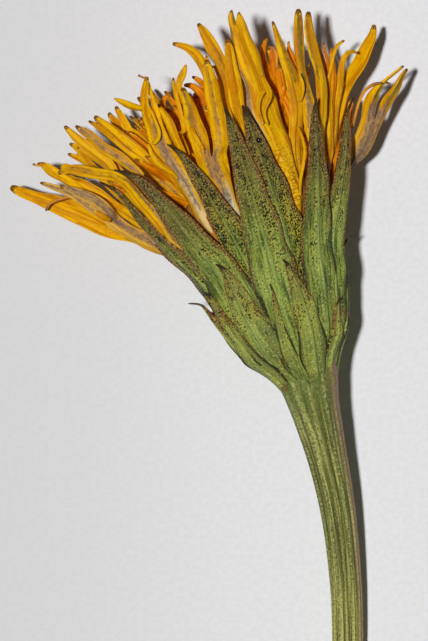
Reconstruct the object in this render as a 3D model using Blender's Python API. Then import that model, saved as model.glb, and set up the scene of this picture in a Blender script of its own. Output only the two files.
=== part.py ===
"""A cut head of nodding microseris on the upper part of its stalk.

The flower lies on a flat surface at Z = 0, seen from above with +Y away from
the stalk. The head leans left, its axis level. It rests on the cut end of the
stalk and on the blades under the head. Sizes are in millimetres in this file
and in metres in the meshes.
"""

import math
import random

import bmesh
import bpy
import numpy as np
from mathutils import Vector

MM = 0.001

# The head: its foot is where the stalk's swollen top meets the cup of bracts.
HEAD_FOOT = Vector((5.23, 5.5, 7.4))
HEAD_LEAN = math.radians(20.0)
DEPTH_SHARE = 0.85          # the head is this much shallower than it is wide
ALONG = Vector((-math.sin(HEAD_LEAN), math.cos(HEAD_LEAN), 0.0))
ACROSS = Vector((math.cos(HEAD_LEAN), math.sin(HEAD_LEAN), 0.0))
UPWARD = Vector((0.0, 0.0, 1.0))

# The cup of bracts: its outer radius at heights above the foot.
CUP_HEIGHTS = (0.0, 1.0, 2.0, 3.6, 6.0, 8.0, 10.0, 13.5, 15.0)
CUP_RADII = (2.0, 2.7, 3.1, 3.65, 4.3, 5.3, 6.2, 7.4, 7.9)
BRACT_THICK = 0.62
BRACT_KEEL = 0.16           # how far the midrib stands proud
BRACT_FOOT_HEIGHT = 0.35
INNER_LAYER_RISE = -0.16    # the layers lie this far off the cup's mean surface
OUTER_LAYER_RISE = 0.22
BRACTLET_RISE = 0.42
BRACT_TIP_RISE = 0.1
BRACT_SHARES = (0.0, 0.10, 0.25, 0.45, 0.65, 0.82, 0.93, 1.0)
BRACT_WIDTHS = (0.55, 0.85, 1.0, 0.95, 0.70, 0.40, 0.24, 0.12)
CUP_RING_TOP = 3.2          # the bracts' bases grow together up to here
CUP_LIP = -0.1              # the cup's lip sits just over the stalk's shoulder
CUP_BORE = 1.5
GAP = 0.3                   # between neighbouring pieces

# Inner bracts: angle at the foot, angle at the tip, height of the tip, half
# width, and 1 for those of the outer layer. Angles run from the upper side
# (0 degrees) clockwise round the head's axis, seen from the stalk.
INNER_BRACTS = (
    (-70, -73, 13.6, 1.40, 0),
    (-45, -48, 13.9, 1.45, 1),
    (-19, -21, 14.2, 1.15, 0),
    (-3, 5, 15.0, 1.40, 1),
    (26, 14, 14.8, 1.35, 0),
    (42, 48, 13.7, 1.40, 1),
    (64, 58, 11.5, 1.00, 0),
    (86, 82, 13.1, 1.30, 1),
    (116, 124, 12.8, 1.30, 0),
    (140, 144, 13.6, 1.35, 1),
    (163, 167, 13.2, 1.30, 0),
    (185, 187, 13.5, 1.35, 1),
    (208, 210, 13.3, 1.30, 0),
    (228, 230, 13.9, 1.35, 1),
    (258, 258, 8.0, 1.10, 0),
)

# Outer bractlets: angle at the foot, angle at the tip, height of the tip, half
# width, and how far the tip stands off the cup.
BRACTLETS = (
    (-88, -88, 5.2, 0.75, 0.9),
    (-40, -54, 5.6, 0.80, 0.2),
    (-22, -30, 6.8, 0.85, 0.1),
    (0, -3, 4.8, 0.65, 0.1),
    (20, 12, 5.9, 0.85, 0.1),
    (52, 55, 2.6, 0.60, 0.1),
    (88, 88, 5.0, 0.80, 0.45),
    (118, 116, 4.6, 0.80, 0.3),
    (150, 152, 5.6, 0.80, 0.2),
    (182, 180, 4.4, 0.80, 0.3),
    (212, 214, 5.8, 0.80, 0.2),
    (244, 242, 4.6, 0.80, 0.3),
)

# Packed ovaries and tubes inside the cup, from which the blades stand out.
CORE_HEIGHTS = (2.0, 2.6, 4.0, 6.0, 8.0, 9.4, 10.3)
CORE_RADII = (0.9, 1.5, 2.2, 2.8, 3.4, 3.2, 2.0)
CORE_FLUTES = 11

BLADE_THICK = 0.62
BLADE_ROOT_HEIGHT = 7.4
COLUMNS = 3                 # patches across a strap
BODY_BREADTHS = ((0.0, 0.55), (0.42, 0.75), (0.62, 0.92), (0.82, 1.0), (1.0, 1.0))
BODY_ARCH = 0.12            # how far a strap's middle stands proud, as a share of its width
TOOTH_BREADTHS = ((0.35, 0.80), (0.72, 0.62), (1.0, 0.22))
TOOTH_ARCH = 0.06
MOUTH_HEIGHT = 10.8
MOUTH_RADIUS = {"flared": 6.3, "outer": 4.9, "middle": 3.5, "inner": 2.0, "centre": 0.7}

# Ligules on the side that faces up: angle at the cup's mouth, ring, width, the
# place where the teeth part, and the tips of the teeth. The flared ones pass
# out between two bracts. Places are height
# above the foot, distance across the head, and distance in front of its axis.
UPPER_LIGULES = (
    (-111, "flared", 2.0, (12.9, -9.6, -2.6), ((15.0, -12.1, -3.0),)),
    (-94, "flared", 2.0, (12.6, -8.6, 0.1), ((14.8, -10.5, 0.6), (13.9, -9.9, 1.5))),
    (-82, "middle", 1.8, (13.8, -7.4, -0.6), ((15.9, -10.5, -1.0), (15.4, -9.3, 0.3))),
    (-50, "outer", 1.6, (13.0, -4.4, 3.0), ((14.8, -9.2, 3.8), (15.2, -6.2, 2.9))),
    (-66, "middle", 1.7, (14.3, -6.0, 1.4), ((17.2, -8.1, 1.3), (16.5, -7.0, 2.0))),
    (-100, "middle", 1.6, (13.8, -6.6, -2.4), ((16.3, -8.2, -2.8), (15.7, -8.8, -3.4))),
    (-52, "middle", 1.7, (14.5, -4.6, 2.4), ((17.1, -6.8, 2.5), (17.3, -5.6, 2.2))),
    (-75, "inner", 1.5, (14.4, -3.9, 0.3), ((17.1, -5.4, 0.6), (17.4, -4.6, -0.2))),
    (-32, "outer", 2.2, (14.6, -3.2, 4.4), ((17.6, -4.9, 5.2), (16.2, -3.9, 5.8), (18.2, -2.7, 5.0))),
    (-19, "middle", 1.6, (14.6, -1.7, 3.7), ((17.7, -1.7, 4.1), (18.0, -0.5, 3.7))),
    (-6, "outer", 2.3, (13.4, -0.5, 5.0), ((16.9, -1.3, 5.6), (17.8, 0.7, 5.8))),
    (-25, "inner", 1.5, (16.0, -0.2, 2.3), ((19.5, -0.8, 2.3), (18.2, 0.6, 1.9))),
    (8, "middle", 1.6, (16.0, 1.3, 3.2), ((20.0, 1.0, 3.5), (18.5, 2.1, 3.0))),
    (16, "outer", 1.5, (15.0, 1.8, 5.0), ((18.6, 2.2, 5.7),)),
    (38, "outer", 2.3, (16.2, 3.2, 4.5), ((20.0, 3.0, 4.8), (18.8, 4.0, 4.4))),
    (52, "middle", 1.5, (15.2, 4.7, 3.0), ((18.8, 5.0, 3.4),)),
    (62, "outer", 1.9, (14.8, 6.0, 3.1), ((18.8, 6.3, 3.0), (18.5, 7.2, 1.9))),
    (74, "middle", 1.7, (14.3, 6.4, 0.7), ((16.7, 8.1, 0.9), (15.7, 9.0, -0.6))),
    (84, "outer", 1.8, (14.5, 7.6, -0.6), ((16.7, 10.5, -2.0),)),
    (103, "flared", 2.2, (11.7, 8.4, -1.4), ((13.6, 9.3, 0.1), (13.7, 11.3, -1.5))),
)

# Ligules towards the surface and in the middle follow a rule: a count, the
# first and last angle, the ring, the lean away from the head's axis, and
# whether their tips lie on the surface.
RULED_LIGULES = (
    (6, 133.0, 243.0, "outer", 42.0, True),
    (5, 120.0, 236.0, "middle", 30.0, False),
    (5, 0.0, 300.0, "inner", 19.0, False),
    (4, 30.0, 300.0, "centre", 9.0, False),
)
FAN_CENTRE_HEIGHT = 7.0
LIGULE_REACH = 12.2
NECK_INSET = 1.6            # a ruled ligule's neck keeps this far inside the cup
SEED = 7

# The stalk: places along its centre line, from the head's foot, and the
# radius at each. It curves down to the surface and ends in a plain cut.
STALK_COURSE = (
    (0.16, -0.44, 0.00, 1.84),
    (0.38, -1.12, -0.06, 1.70),
    (0.62, -2.12, -0.34, 1.46),
    (1.18, -4.29, -1.30, 1.20),
    (2.06, -8.29, -2.98, 0.98),
    (2.58, -12.8, -4.34, 0.88),
    (2.74, -19.4, -5.66, 0.87),
    (2.78, -26.0, -6.36, 0.87),
    (2.75, -31.0, -6.60, 0.87),
)
STALK_STATIONS = 17
STALK_RIBS = 12
STALK_RIB_HEIGHT = 0.07     # as a share of the radius
RECEPTACLE_TOP = 1.6
RECEPTACLE_RADIUS = CUP_BORE - GAP
SURFACE_BITE = 0.45         # blade tips that lie on the surface are pressed flat by this much
SLAB_REACH = 120.0
SLAB_DEPTH = 20.0


def head_point(height, across, forward):
    """A place in the head's own frame, as a world place."""
    return HEAD_FOOT + ALONG * height + ACROSS * across + UPWARD * forward


def head_place(place):
    return head_point(*place)


def ring_point(height, angle, radius):
    """A place on the head's flattened ring at this height and angle."""
    turn = math.radians(angle)
    return head_point(height, radius * math.sin(turn), DEPTH_SHARE * radius * math.cos(turn))


def outward(angle):
    turn = math.radians(angle)
    return (ACROSS * math.sin(turn) + UPWARD * math.cos(turn)).normalized()


def cup_radius(height):
    return float(np.interp(height, CUP_HEIGHTS, CUP_RADII))


def clear_scene():
    for thing in list(bpy.data.objects):
        bpy.data.objects.remove(thing, do_unlink=True)


def plant_material(name, colour, roughness):
    """A Principled material in one plain colour."""
    material = bpy.data.materials.new(name)
    material.use_nodes = True
    shader = material.node_tree.nodes["Principled BSDF"]
    shader.inputs["Base Color"].default_value = (*colour, 1.0)
    shader.inputs["Roughness"].default_value = roughness
    shader.inputs["Metallic"].default_value = 0.0
    material.diffuse_color = (*colour, 1.0)
    return material


def mesh_object(name, points, faces):
    """An object from places in millimetres and lists of corners, facing out."""
    mesh = bpy.data.meshes.new(name)
    mesh.from_pydata([tuple(point * MM) for point in points], [], faces)
    shape = bmesh.new()
    shape.from_mesh(mesh)
    bmesh.ops.recalc_face_normals(shape, faces=shape.faces)
    bmesh.ops.triangulate(shape, faces=[face for face in shape.faces if len(face.verts) > 4])
    shape.to_mesh(mesh)
    shape.free()
    thing = bpy.data.objects.new(name, mesh)
    bpy.context.scene.collection.objects.link(thing)
    return thing


class Sheet:
    """Places and faces of one thick blade: each place has an outer and an
    inner corner, and both faces are split into triangles alike."""

    def __init__(self):
        self.points = []
        self.faces = []

    def add(self, outer, inner):
        self.points += [outer, inner]
        return len(self.points) - 2

    def skin(self, a, b, c, d):
        """Both faces of the patch a, b, c, d, which are outer corners."""
        self.faces += [(a, b, c), (a, c, d), (a + 1, c + 1, b + 1), (a + 1, d + 1, c + 1)]

    def wall(self, a, b):
        """The edge wall between outer corners a and b."""
        self.faces.append((a, a + 1, b + 1, b))

    def strip(self, rows):
        """Skin rows of corners that run alike, with walls at both sides."""
        for low, high in zip(rows, rows[1:]):
            for j in range(len(low) - 1):
                self.skin(low[j], low[j + 1], high[j + 1], high[j])
            self.wall(low[0], high[0])
            self.wall(high[-1], low[-1])

    def close(self, row):
        for a, b in zip(row, row[1:]):
            self.wall(b, a)


def bract(name, foot_angle, tip_angle, tip_height, half_width, layer_rise, tip_rise):
    """A lance-shaped bract that follows the cup, with a keel down its back."""
    sheet = Sheet()
    rows = []
    for share, width in zip(BRACT_SHARES, BRACT_WIDTHS):
        height = BRACT_FOOT_HEIGHT + (tip_height - BRACT_FOOT_HEIGHT) * share
        angle = foot_angle + (tip_angle - foot_angle) * share
        rise = layer_rise * min(1.0, share * 5.0) + tip_rise * share ** 4
        radius = cup_radius(height) + rise
        spread = math.degrees(half_width * width / radius)
        row = []
        for side, keel in ((-1, 0.0), (0, BRACT_KEEL), (1, 0.0)):
            at = angle + side * spread
            outer = ring_point(height, at, radius + keel)
            inner = ring_point(height, at, radius + keel * 0.5 - BRACT_THICK)
            row.append(sheet.add(outer, inner))
        rows.append(row)
    sheet.strip(rows)
    sheet.close(rows[0][::-1])
    sheet.close(rows[-1])
    return mesh_object(name, sheet.points, sheet.faces)


def turned(name, heights, radii, sides, flute=0.0, flutes=0):
    """A solid turned about the head's axis, flattened like the head."""
    points = [head_point(heights[0], 0.0, 0.0)]
    for height, radius in zip(heights, radii):
        for i in range(sides):
            angle = 360.0 * i / sides
            wave = 1.0 + flute * math.cos(math.radians(angle * flutes))
            points.append(ring_point(height, angle, radius * wave))
    points.append(head_point(heights[-1], 0.0, 0.0))
    faces = []
    last = len(points) - 1
    for i in range(sides):
        j = (i + 1) % sides
        faces.append((0, 1 + i, 1 + j))
        for ring in range(len(heights) - 1):
            low = 1 + ring * sides
            high = low + sides
            faces.append((low + i, high + i, high + j, low + j))
        top = 1 + (len(heights) - 1) * sides
        faces.append((top + i, last, top + j))
    return mesh_object(name, points, faces)


def cup_ring():
    """The bracts' bases grown together round a bore for the receptacle."""
    sides = 24
    outer = [(h, cup_radius(h)) for h in (CUP_LIP, 0.3, 1.0, 2.0, CUP_RING_TOP)]
    inner = [(h, cup_radius(h) - BRACT_THICK) for h in (CUP_RING_TOP, 2.0)]
    profile = outer + inner + [(1.0, CUP_BORE), (CUP_LIP, CUP_BORE)]
    points = []
    for height, radius in profile:
        points += [ring_point(height, 360.0 * i / sides, radius) for i in range(sides)]
    faces = []
    for k in range(len(profile)):
        low = k * sides
        high = ((k + 1) % len(profile)) * sides
        for i in range(sides):
            j = (i + 1) % sides
            faces.append((low + i, low + j, high + j, high + i))
    return mesh_object("cup_ring", points, faces)


class Course:
    """A smooth run between two places that bends towards a handle, and the
    row of blade corners at any share of it."""

    def __init__(self, start, handle, end, face_way):
        self.start = start
        self.handle = handle
        self.end = end
        self.face_way = face_way

    def at(self, share):
        rest = 1.0 - share
        return self.start * rest * rest + self.handle * 2.0 * rest * share + self.end * share * share

    def ways(self, share):
        """Along the blade, across it, and out of its back."""
        along = ((self.handle - self.start) * (1.0 - share) + (self.end - self.handle) * share).normalized()
        across = along.cross(self.face_way).normalized()
        return along, across, across.cross(along).normalized()

    def row(self, sheet, share, width, arch, columns):
        _, across, back = self.ways(share)
        row = []
        for k in range(columns + 1):
            x = k / columns - 0.5
            place = self.at(share) + across * (width * x) + back * (arch * (1.0 - 4.0 * x * x))
            row.append(sheet.add(place + back * (BLADE_THICK / 2.0), place - back * (BLADE_THICK / 2.0)))
        return row


def tooth_columns(neck, tips):
    """Which of the strap's columns each tooth takes: the longer takes more."""
    if len(tips) == 1:
        return ((0, COLUMNS),)
    if len(tips) == COLUMNS:
        return tuple((k, k + 1) for k in range(COLUMNS))
    parting = 1 if (tips[0] - neck).length < (tips[1] - neck).length else COLUMNS - 1
    return ((0, parting), (parting, COLUMNS))


def ligule(name, angle, ring, width, neck, tips):
    """A strap with teeth: it stands out of the core, passes the cup's mouth
    and parts into its teeth at the neck."""
    face_way = outward(angle)
    root = ring_point(BLADE_ROOT_HEIGHT, angle, MOUTH_RADIUS[ring] * 0.45)
    mouth = ring_point(MOUTH_HEIGHT, angle, MOUTH_RADIUS[ring])
    body = Course(root, mouth * 2.0 - (root + neck) * 0.5, neck, face_way)
    sheet = Sheet()
    rows = [
        body.row(sheet, share, width * breadth, BODY_ARCH * width * breadth, COLUMNS)
        for share, breadth in BODY_BREADTHS
    ]
    sheet.strip(rows)
    sheet.close(rows[0][::-1])

    along, across, back = body.ways(1.0)
    tips = sorted(tips, key=lambda tip: (tip - neck).dot(across))
    for tip, (low, high) in zip(tips, tooth_columns(neck, tips)):
        middle = (low + high) / 2.0 / COLUMNS - 0.5
        start = neck + across * (width * middle) + back * (BODY_ARCH * width * (1.0 - 4.0 * middle ** 2))
        bend = start + along * ((tip - start).length * 0.5)
        tooth = Course(start, bend, tip, face_way)
        tooth_width = width * (high - low) / COLUMNS
        arch = TOOTH_ARCH * tooth_width if high - low > 1 else 0.0
        tooth_rows = [rows[-1][low:high + 1]]
        for share, breadth in TOOTH_BREADTHS:
            tooth_rows.append(tooth.row(sheet, share, tooth_width * breadth, arch, high - low))
        sheet.strip(tooth_rows)
        sheet.close(tooth_rows[-1])
    return mesh_object(name, sheet.points, sheet.faces)


def ruled_ligules():
    """The ligules under and inside the head, each a little different."""
    draw = random.Random(SEED)
    found = []
    lowest = BLADE_THICK / 2.0 - HEAD_FOOT.z - SURFACE_BITE
    for count, first, last, ring, lean, rests in RULED_LIGULES:
        for i in range(count):
            angle = first + (last - first) * i / (count - 1) + draw.uniform(-1.5, 1.5)
            tilt = math.radians(lean + draw.uniform(-4.0, 4.0))
            reach = LIGULE_REACH * draw.uniform(0.93, 1.05)
            neck_height = FAN_CENTRE_HEIGHT + reach * 0.58 * math.cos(tilt)
            neck_radius = min(reach * 0.58 * math.sin(tilt), cup_radius(neck_height) - NECK_INSET)
            neck = ring_point(neck_height, angle, neck_radius)
            tips = []
            for share, swing in ((1.0, -3.5), (0.92, 5.0)):
                turn = math.radians(angle + swing)
                out = reach * share * math.sin(tilt)
                forward = lowest if rests else max(DEPTH_SHARE * out * math.cos(turn), lowest)
                height = FAN_CENTRE_HEIGHT + reach * share * math.cos(tilt)
                tips.append(head_point(height, out * math.sin(turn), forward))
            width = draw.uniform(1.6, 2.1) if ring in ("outer", "middle") else draw.uniform(1.3, 1.6)
            found.append((angle, ring, width, neck, tips))
    return found


def fuse(name, pieces, material):
    """Join closed pieces into one closed body, pressed flat at the surface."""
    base = pieces[0]
    others = bpy.data.collections.new(name + "_pieces")
    bpy.context.scene.collection.children.link(others)
    for piece in pieces[1:]:
        bpy.context.scene.collection.objects.unlink(piece)
        others.objects.link(piece)
    if len(pieces) > 1:
        union = base.modifiers.new("grown_together", "BOOLEAN")
        union.operation = "UNION"
        union.operand_type = "COLLECTION"
        union.collection = others
        union.solver = "MANIFOLD"
    under = surface_cutter(name)
    press = base.modifiers.new("pressed_flat", "BOOLEAN")
    press.operation = "DIFFERENCE"
    press.object = under
    press.solver = "MANIFOLD"
    bpy.context.view_layer.update()
    evaluated = base.evaluated_get(bpy.context.evaluated_depsgraph_get())
    mesh = bpy.data.meshes.new_from_object(evaluated)
    for thing in pieces + [under]:
        bpy.data.objects.remove(thing, do_unlink=True)
    bpy.data.collections.remove(others)
    keep_main_body(mesh)
    mesh.name = name
    mesh.materials.clear()
    mesh.materials.append(material)
    mesh.set_sharp_from_angle(angle=math.radians(40.0))
    thing = bpy.data.objects.new(name, mesh)
    bpy.context.scene.collection.objects.link(thing)
    return thing


def surface_cutter(name):
    """A slab whose top is the surface that the flower lies on."""
    bpy.ops.mesh.primitive_cube_add(size=1.0, location=(0.0, 0.0, -0.5 * SLAB_DEPTH * MM))
    slab = bpy.context.active_object
    slab.name = name + "_surface"
    slab.dimensions = (SLAB_REACH * MM, SLAB_REACH * MM, SLAB_DEPTH * MM)
    bpy.context.view_layer.update()
    bpy.ops.object.transform_apply(location=False, rotation=False, scale=True)
    slab.hide_render = True
    slab.display_type = "WIRE"
    return slab


def keep_main_body(mesh):
    """Fill sealed hollows and drop scraps: only the largest shell stays."""
    shape = bmesh.new()
    shape.from_mesh(mesh)
    bmesh.ops.triangulate(shape, faces=shape.faces)
    left = set(shape.faces)
    shells = []
    while left:
        seed = left.pop()
        shell = [seed]
        for face in shell:
            for edge in face.edges:
                for near in edge.link_faces:
                    if near in left:
                        left.remove(near)
                        shell.append(near)
        shells.append(shell)
    shells.sort(key=len, reverse=True)
    scraps = [face for shell in shells[1:] for face in shell]
    bmesh.ops.delete(shape, geom=scraps, context="FACES")
    shape.to_mesh(mesh)
    shape.free()


def smooth_course(course, stations):
    """Places and radii at even steps along a smooth curve through a course."""
    course = np.array(course)
    steps = np.concatenate([[0.0], np.cumsum(np.linalg.norm(np.diff(course[:, :3], axis=0), axis=1))])
    slopes = np.gradient(course, steps, axis=0)
    found = []
    for step in steps[-1] * np.linspace(0.0, 1.0, stations) ** 1.5:
        k = min(int(np.searchsorted(steps, step, side="right")) - 1, len(steps) - 2)
        run = steps[k + 1] - steps[k]
        t = (step - steps[k]) / run
        found.append(
            course[k] * (1 + 2 * t) * (1 - t) ** 2 + slopes[k] * run * t * (1 - t) ** 2
            + course[k + 1] * t * t * (3 - 2 * t) + slopes[k + 1] * run * t * t * (t - 1)
        )
    return [(Vector(row[:3]), float(row[3])) for row in found]


def make_stalk(material):
    """The ribbed stalk, with a shoulder under the cup and a knob inside it."""
    sides = STALK_RIBS * 2
    turns = [2.0 * math.pi * k / sides for k in range(sides)]
    rings = []
    for height, radius in ((RECEPTACLE_TOP, 0.8), (RECEPTACLE_TOP - 0.3, RECEPTACLE_RADIUS),
                           (CUP_LIP - 0.15, RECEPTACLE_RADIUS)):
        rings.append([
            head_point(height, radius * math.cos(t), -radius * DEPTH_SHARE * math.sin(t)) for t in turns
        ])
    course = smooth_course(STALK_COURSE, STALK_STATIONS)
    for i, (place, radius) in enumerate(course):
        before = course[max(i - 1, 0)][0]
        after = course[min(i + 1, len(course) - 1)][0]
        way = (before - after).normalized()
        if i == 0:
            way = ALONG
        side = way.cross(UPWARD).normalized()
        down = way.cross(side).normalized()
        ring = []
        for k, turn in enumerate(turns):
            reach = radius * (1.0 + STALK_RIB_HEIGHT * (1 if k % 2 else -1))
            ring.append(HEAD_FOOT + place + (side * math.cos(turn) + down * math.sin(turn)) * reach)
        rings.append(ring)
    points = [point for ring in rings for point in ring]
    faces = [tuple(range(sides)), tuple(range(len(points) - sides, len(points)))]
    for i in range(len(rings) - 1):
        for k in range(sides):
            a = i * sides + k
            b = i * sides + (k + 1) % sides
            faces.append((a, b, b + sides, a + sides))
    stalk = mesh_object("stalk_body", points, faces)
    return fuse("stem", [stalk], material)


def make_involucre(material):
    pieces = [cup_ring()]
    for i, (foot, tip, height, half_width, outer) in enumerate(INNER_BRACTS):
        rise = OUTER_LAYER_RISE if outer else INNER_LAYER_RISE
        pieces.append(bract("bract_%d" % i, foot, tip, height, half_width, rise, BRACT_TIP_RISE))
    for i, (foot, tip, height, half_width, off) in enumerate(BRACTLETS):
        pieces.append(bract("bractlet_%d" % i, foot, tip, height, half_width, BRACTLET_RISE, off))
    return fuse("involucre", pieces, material)


def make_florets(material):
    pieces = [turned("core", CORE_HEIGHTS, CORE_RADII, 22, 0.06, CORE_FLUTES)]
    for i, (angle, ring, width, neck, tips) in enumerate(UPPER_LIGULES):
        places = [head_place(tip) for tip in tips]
        pieces.append(ligule("upper_%d" % i, angle, ring, width, head_place(neck), places))
    for i, (angle, ring, width, neck, tips) in enumerate(ruled_ligules()):
        pieces.append(ligule("ruled_%d" % i, angle, ring, width, neck, tips))
    return fuse("florets", pieces, material)


def build():
    clear_scene()
    make_stalk(plant_material("stalk_green", (0.20, 0.27, 0.06), 0.55))
    make_involucre(plant_material("bract_green", (0.17, 0.27, 0.07), 0.60))
    make_florets(plant_material("ligule_yellow", (0.80, 0.42, 0.01), 0.50))


build()
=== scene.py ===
"""A cut head of nodding microseris, lying on paper: its skin, leaf and petal."""
import math
import random

import bpy
import numpy as np
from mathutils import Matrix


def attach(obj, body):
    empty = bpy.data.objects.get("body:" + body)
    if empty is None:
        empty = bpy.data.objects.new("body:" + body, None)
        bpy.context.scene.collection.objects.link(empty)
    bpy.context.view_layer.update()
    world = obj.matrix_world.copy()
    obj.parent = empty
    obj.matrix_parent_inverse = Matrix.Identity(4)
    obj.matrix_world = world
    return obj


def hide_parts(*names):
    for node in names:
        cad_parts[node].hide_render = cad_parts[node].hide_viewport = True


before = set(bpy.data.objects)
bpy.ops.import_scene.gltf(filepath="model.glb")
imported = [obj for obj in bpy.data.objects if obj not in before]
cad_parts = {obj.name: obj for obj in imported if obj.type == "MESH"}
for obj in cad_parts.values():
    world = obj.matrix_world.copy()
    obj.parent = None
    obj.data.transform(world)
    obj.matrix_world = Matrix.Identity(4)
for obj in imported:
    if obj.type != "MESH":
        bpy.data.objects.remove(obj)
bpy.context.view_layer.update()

# The stalk. One green, ribbed flower stalk that widens into the seat of the
# head. Its ribs are pale threads of fibre under a thin skin, with olive skin
# between them, and its right side has reddened in the sun. It was cut straight.

MM = 0.001
FOOT = np.array([5.23, 5.5, 7.4])        # where the stalk's top meets the bracts, in mm
LEAN = math.radians(20.0)
ALONG = np.array([-math.sin(LEAN), math.cos(LEAN), 0.0])
ACROSS = np.array([math.cos(LEAN), math.sin(LEAN), 0.0])
UPWARD = np.array([0.0, 0.0, 1.0])
FLATNESS = 0.85                          # the head is this much shallower than wide

CUP_HEIGHTS = (-2.2, -1.2, -0.5, 0.0, 1.0, 2.0, 3.6, 6.0, 8.0, 10.0, 13.5, 15.0)
CUP_RADII = (1.47, 1.68, 1.85, 2.05, 2.7, 3.1, 3.65, 4.3, 5.3, 6.2, 7.4, 7.9)
CUP_STEPS = 160

# Offsets from the foot along X, Y and Z, and the radius, from the cut end up.
STALK_COURSE = (
    (2.75, -31.0, -6.60, 0.87),
    (2.78, -26.0, -6.36, 0.87),
    (2.74, -19.4, -5.66, 0.87),
    (2.58, -12.8, -4.34, 0.88),
    (2.06, -8.29, -2.98, 0.98),
    (1.18, -4.29, -1.30, 1.20),
    (0.62, -2.12, -0.34, 1.48),
    (0.38, -1.12, -0.06, 1.70),
    (0.16, -0.44, 0.00, 1.88),
)
STALK_STEPS = 110
STALK_SIDES = 120
SEAT_HEIGHTS = (0.0, 0.5, 1.1, 1.8, 2.6)
SEAT_INSET = (0.0, 0.1, 0.3, 0.4, 0.5)   # the seat goes on under the bracts
RIBS = 12
RIB_HEIGHT = 0.05                        # of the radius
SEAT_RIB_SHARE = 0.25                    # of that height, on the seat
RIB_NARROWNESS = 0.36
RIB_PHASE = 0.35
RIB_FADE_STEPS = 14.0                    # the ribs sink away over these last steps
NECK_STEPS = 12.0                        # and the stalk flattens into the head over these
RIB_LEAST = 0.25                         # share of the ribs that is left at the head
BLUSH_ANGLE = 95.0                       # the reddened side, clockwise from the top
BLUSH_STRENGTH = 2.4
BLUSH_START = 1.25                       # taken off again, so that it keeps to its side
SEAT_LIE_STEP = (0.0, 0.5, 0.0)          # mm of pattern from one ring of the seat to the next


def head_place(stations):
    """World places in mm of places (along, across, forward) on the head."""
    return np.asarray(stations, float)[..., :3] @ np.array([ALONG, ACROSS, UPWARD]) + FOOT


def outward(degrees):
    """The way out of the head's axis at an angle, clockwise from the top."""
    turn = np.radians(degrees)
    return np.multiply.outer(np.sin(turn), ACROSS) + np.multiply.outer(np.cos(turn), UPWARD)


def beside(*values):
    """Values side by side as one row for each place."""
    return np.stack(np.broadcast_arrays(*values), axis=-1)


def ring_place(height, degrees, radius):
    """A place on the head's flattened ring, as (along, across, forward)."""
    turn = np.radians(degrees)
    return beside(height, radius * np.sin(turn), FLATNESS * radius * np.cos(turn))


def spans(places):
    """The length of each step between places."""
    return np.linalg.norm(np.diff(places, axis=0), axis=1)


def directions(places):
    """The unit direction of a run at each of its places."""
    ways = np.gradient(places, axis=0)
    return ways / np.linalg.norm(ways, axis=1)[:, None]


def smooth_run(stations, count):
    """Rows at even steps along a smooth curve through the stations."""
    stations = np.asarray(stations, float)
    steps = np.concatenate([[0.0], np.cumsum(np.maximum(spans(stations[:, :3]), 1e-6))])
    slopes = np.gradient(stations, steps, axis=0)
    found = np.linspace(0.0, steps[-1], count)
    k = np.clip(np.searchsorted(steps, found, side="right") - 1, 0, len(steps) - 2)
    run = (steps[k + 1] - steps[k])[:, None]
    t = (found - steps[k])[:, None] / run
    return (
        stations[k] * (1 + 2 * t) * (1 - t) ** 2 + slopes[k] * run * t * (1 - t) ** 2
        + stations[k + 1] * t * t * (3 - 2 * t) + slopes[k + 1] * run * t * t * (t - 1)
    )


CUP_CURVE = smooth_run(beside(CUP_HEIGHTS, CUP_RADII, 0.0), CUP_STEPS)


def cup_radius(height):
    """The radius of the bracts' cup at a height above its foot."""
    return np.interp(height, CUP_CURVE[:, 0], CUP_CURVE[:, 1])


def grid_faces(rows, columns, ringed=False):
    """Quads of a grid of places. A ringed one closes round, and at both ends."""
    faces = []
    for r in range(rows - 1):
        for c in range(columns if ringed else columns - 1):
            d = (c + 1) % columns
            faces.append((r * columns + c, r * columns + d, (r + 1) * columns + d, (r + 1) * columns + c))
    if ringed:
        faces += [tuple(range(columns))[::-1], tuple(range((rows - 1) * columns, rows * columns))]
    return faces


def put(name, data):
    """A new object in the scene."""
    thing = bpy.data.objects.new(name, data)
    bpy.context.scene.collection.objects.link(thing)
    return thing


def make_piece(name, places, faces, lie, paint, materials, node):
    """A mesh piece of the flower from places in mm, riding on its one body."""
    mesh = bpy.data.meshes.new(name)
    mesh.from_pydata((np.reshape(places, (-1, 3)) * MM).tolist(), [], faces)
    for key, values in (("lie", lie), ("paint", paint)):
        layer = mesh.attributes.new(key, "FLOAT_VECTOR", "POINT")
        layer.data.foreach_set("vector", np.asarray(values, np.float32).ravel())
    for material in materials:
        mesh.materials.append(material)
    mesh.shade_smooth()
    piece = put(name, mesh)
    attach(piece, "root")
    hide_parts(node)
    return piece


def linear(colour):
    """A colour written as an sRGB hex value, in linear light."""
    parts = [int(colour[i:i + 2], 16) / 255.0 for i in (0, 2, 4)]
    return (*[p / 12.92 if p <= 0.04045 else ((p + 0.055) / 1.055) ** 2.4 for p in parts], 1.0)


def feed(node, inputs):
    """Give a node's inputs their fields, sRGB colours or plain values."""
    for key, value in inputs.items():
        if isinstance(value, Field):
            value.socket.id_data.links.new(value.socket, node.inputs[key])
        else:
            node.inputs[key].default_value = linear(value) if isinstance(value, str) else value


def add_node(tree, kind, inputs, **settings):
    """A node with its settings and links."""
    node = tree.nodes.new("ShaderNode" + kind)
    for name, value in settings.items():
        setattr(node, name, value)
    feed(node, inputs)
    return node


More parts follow.
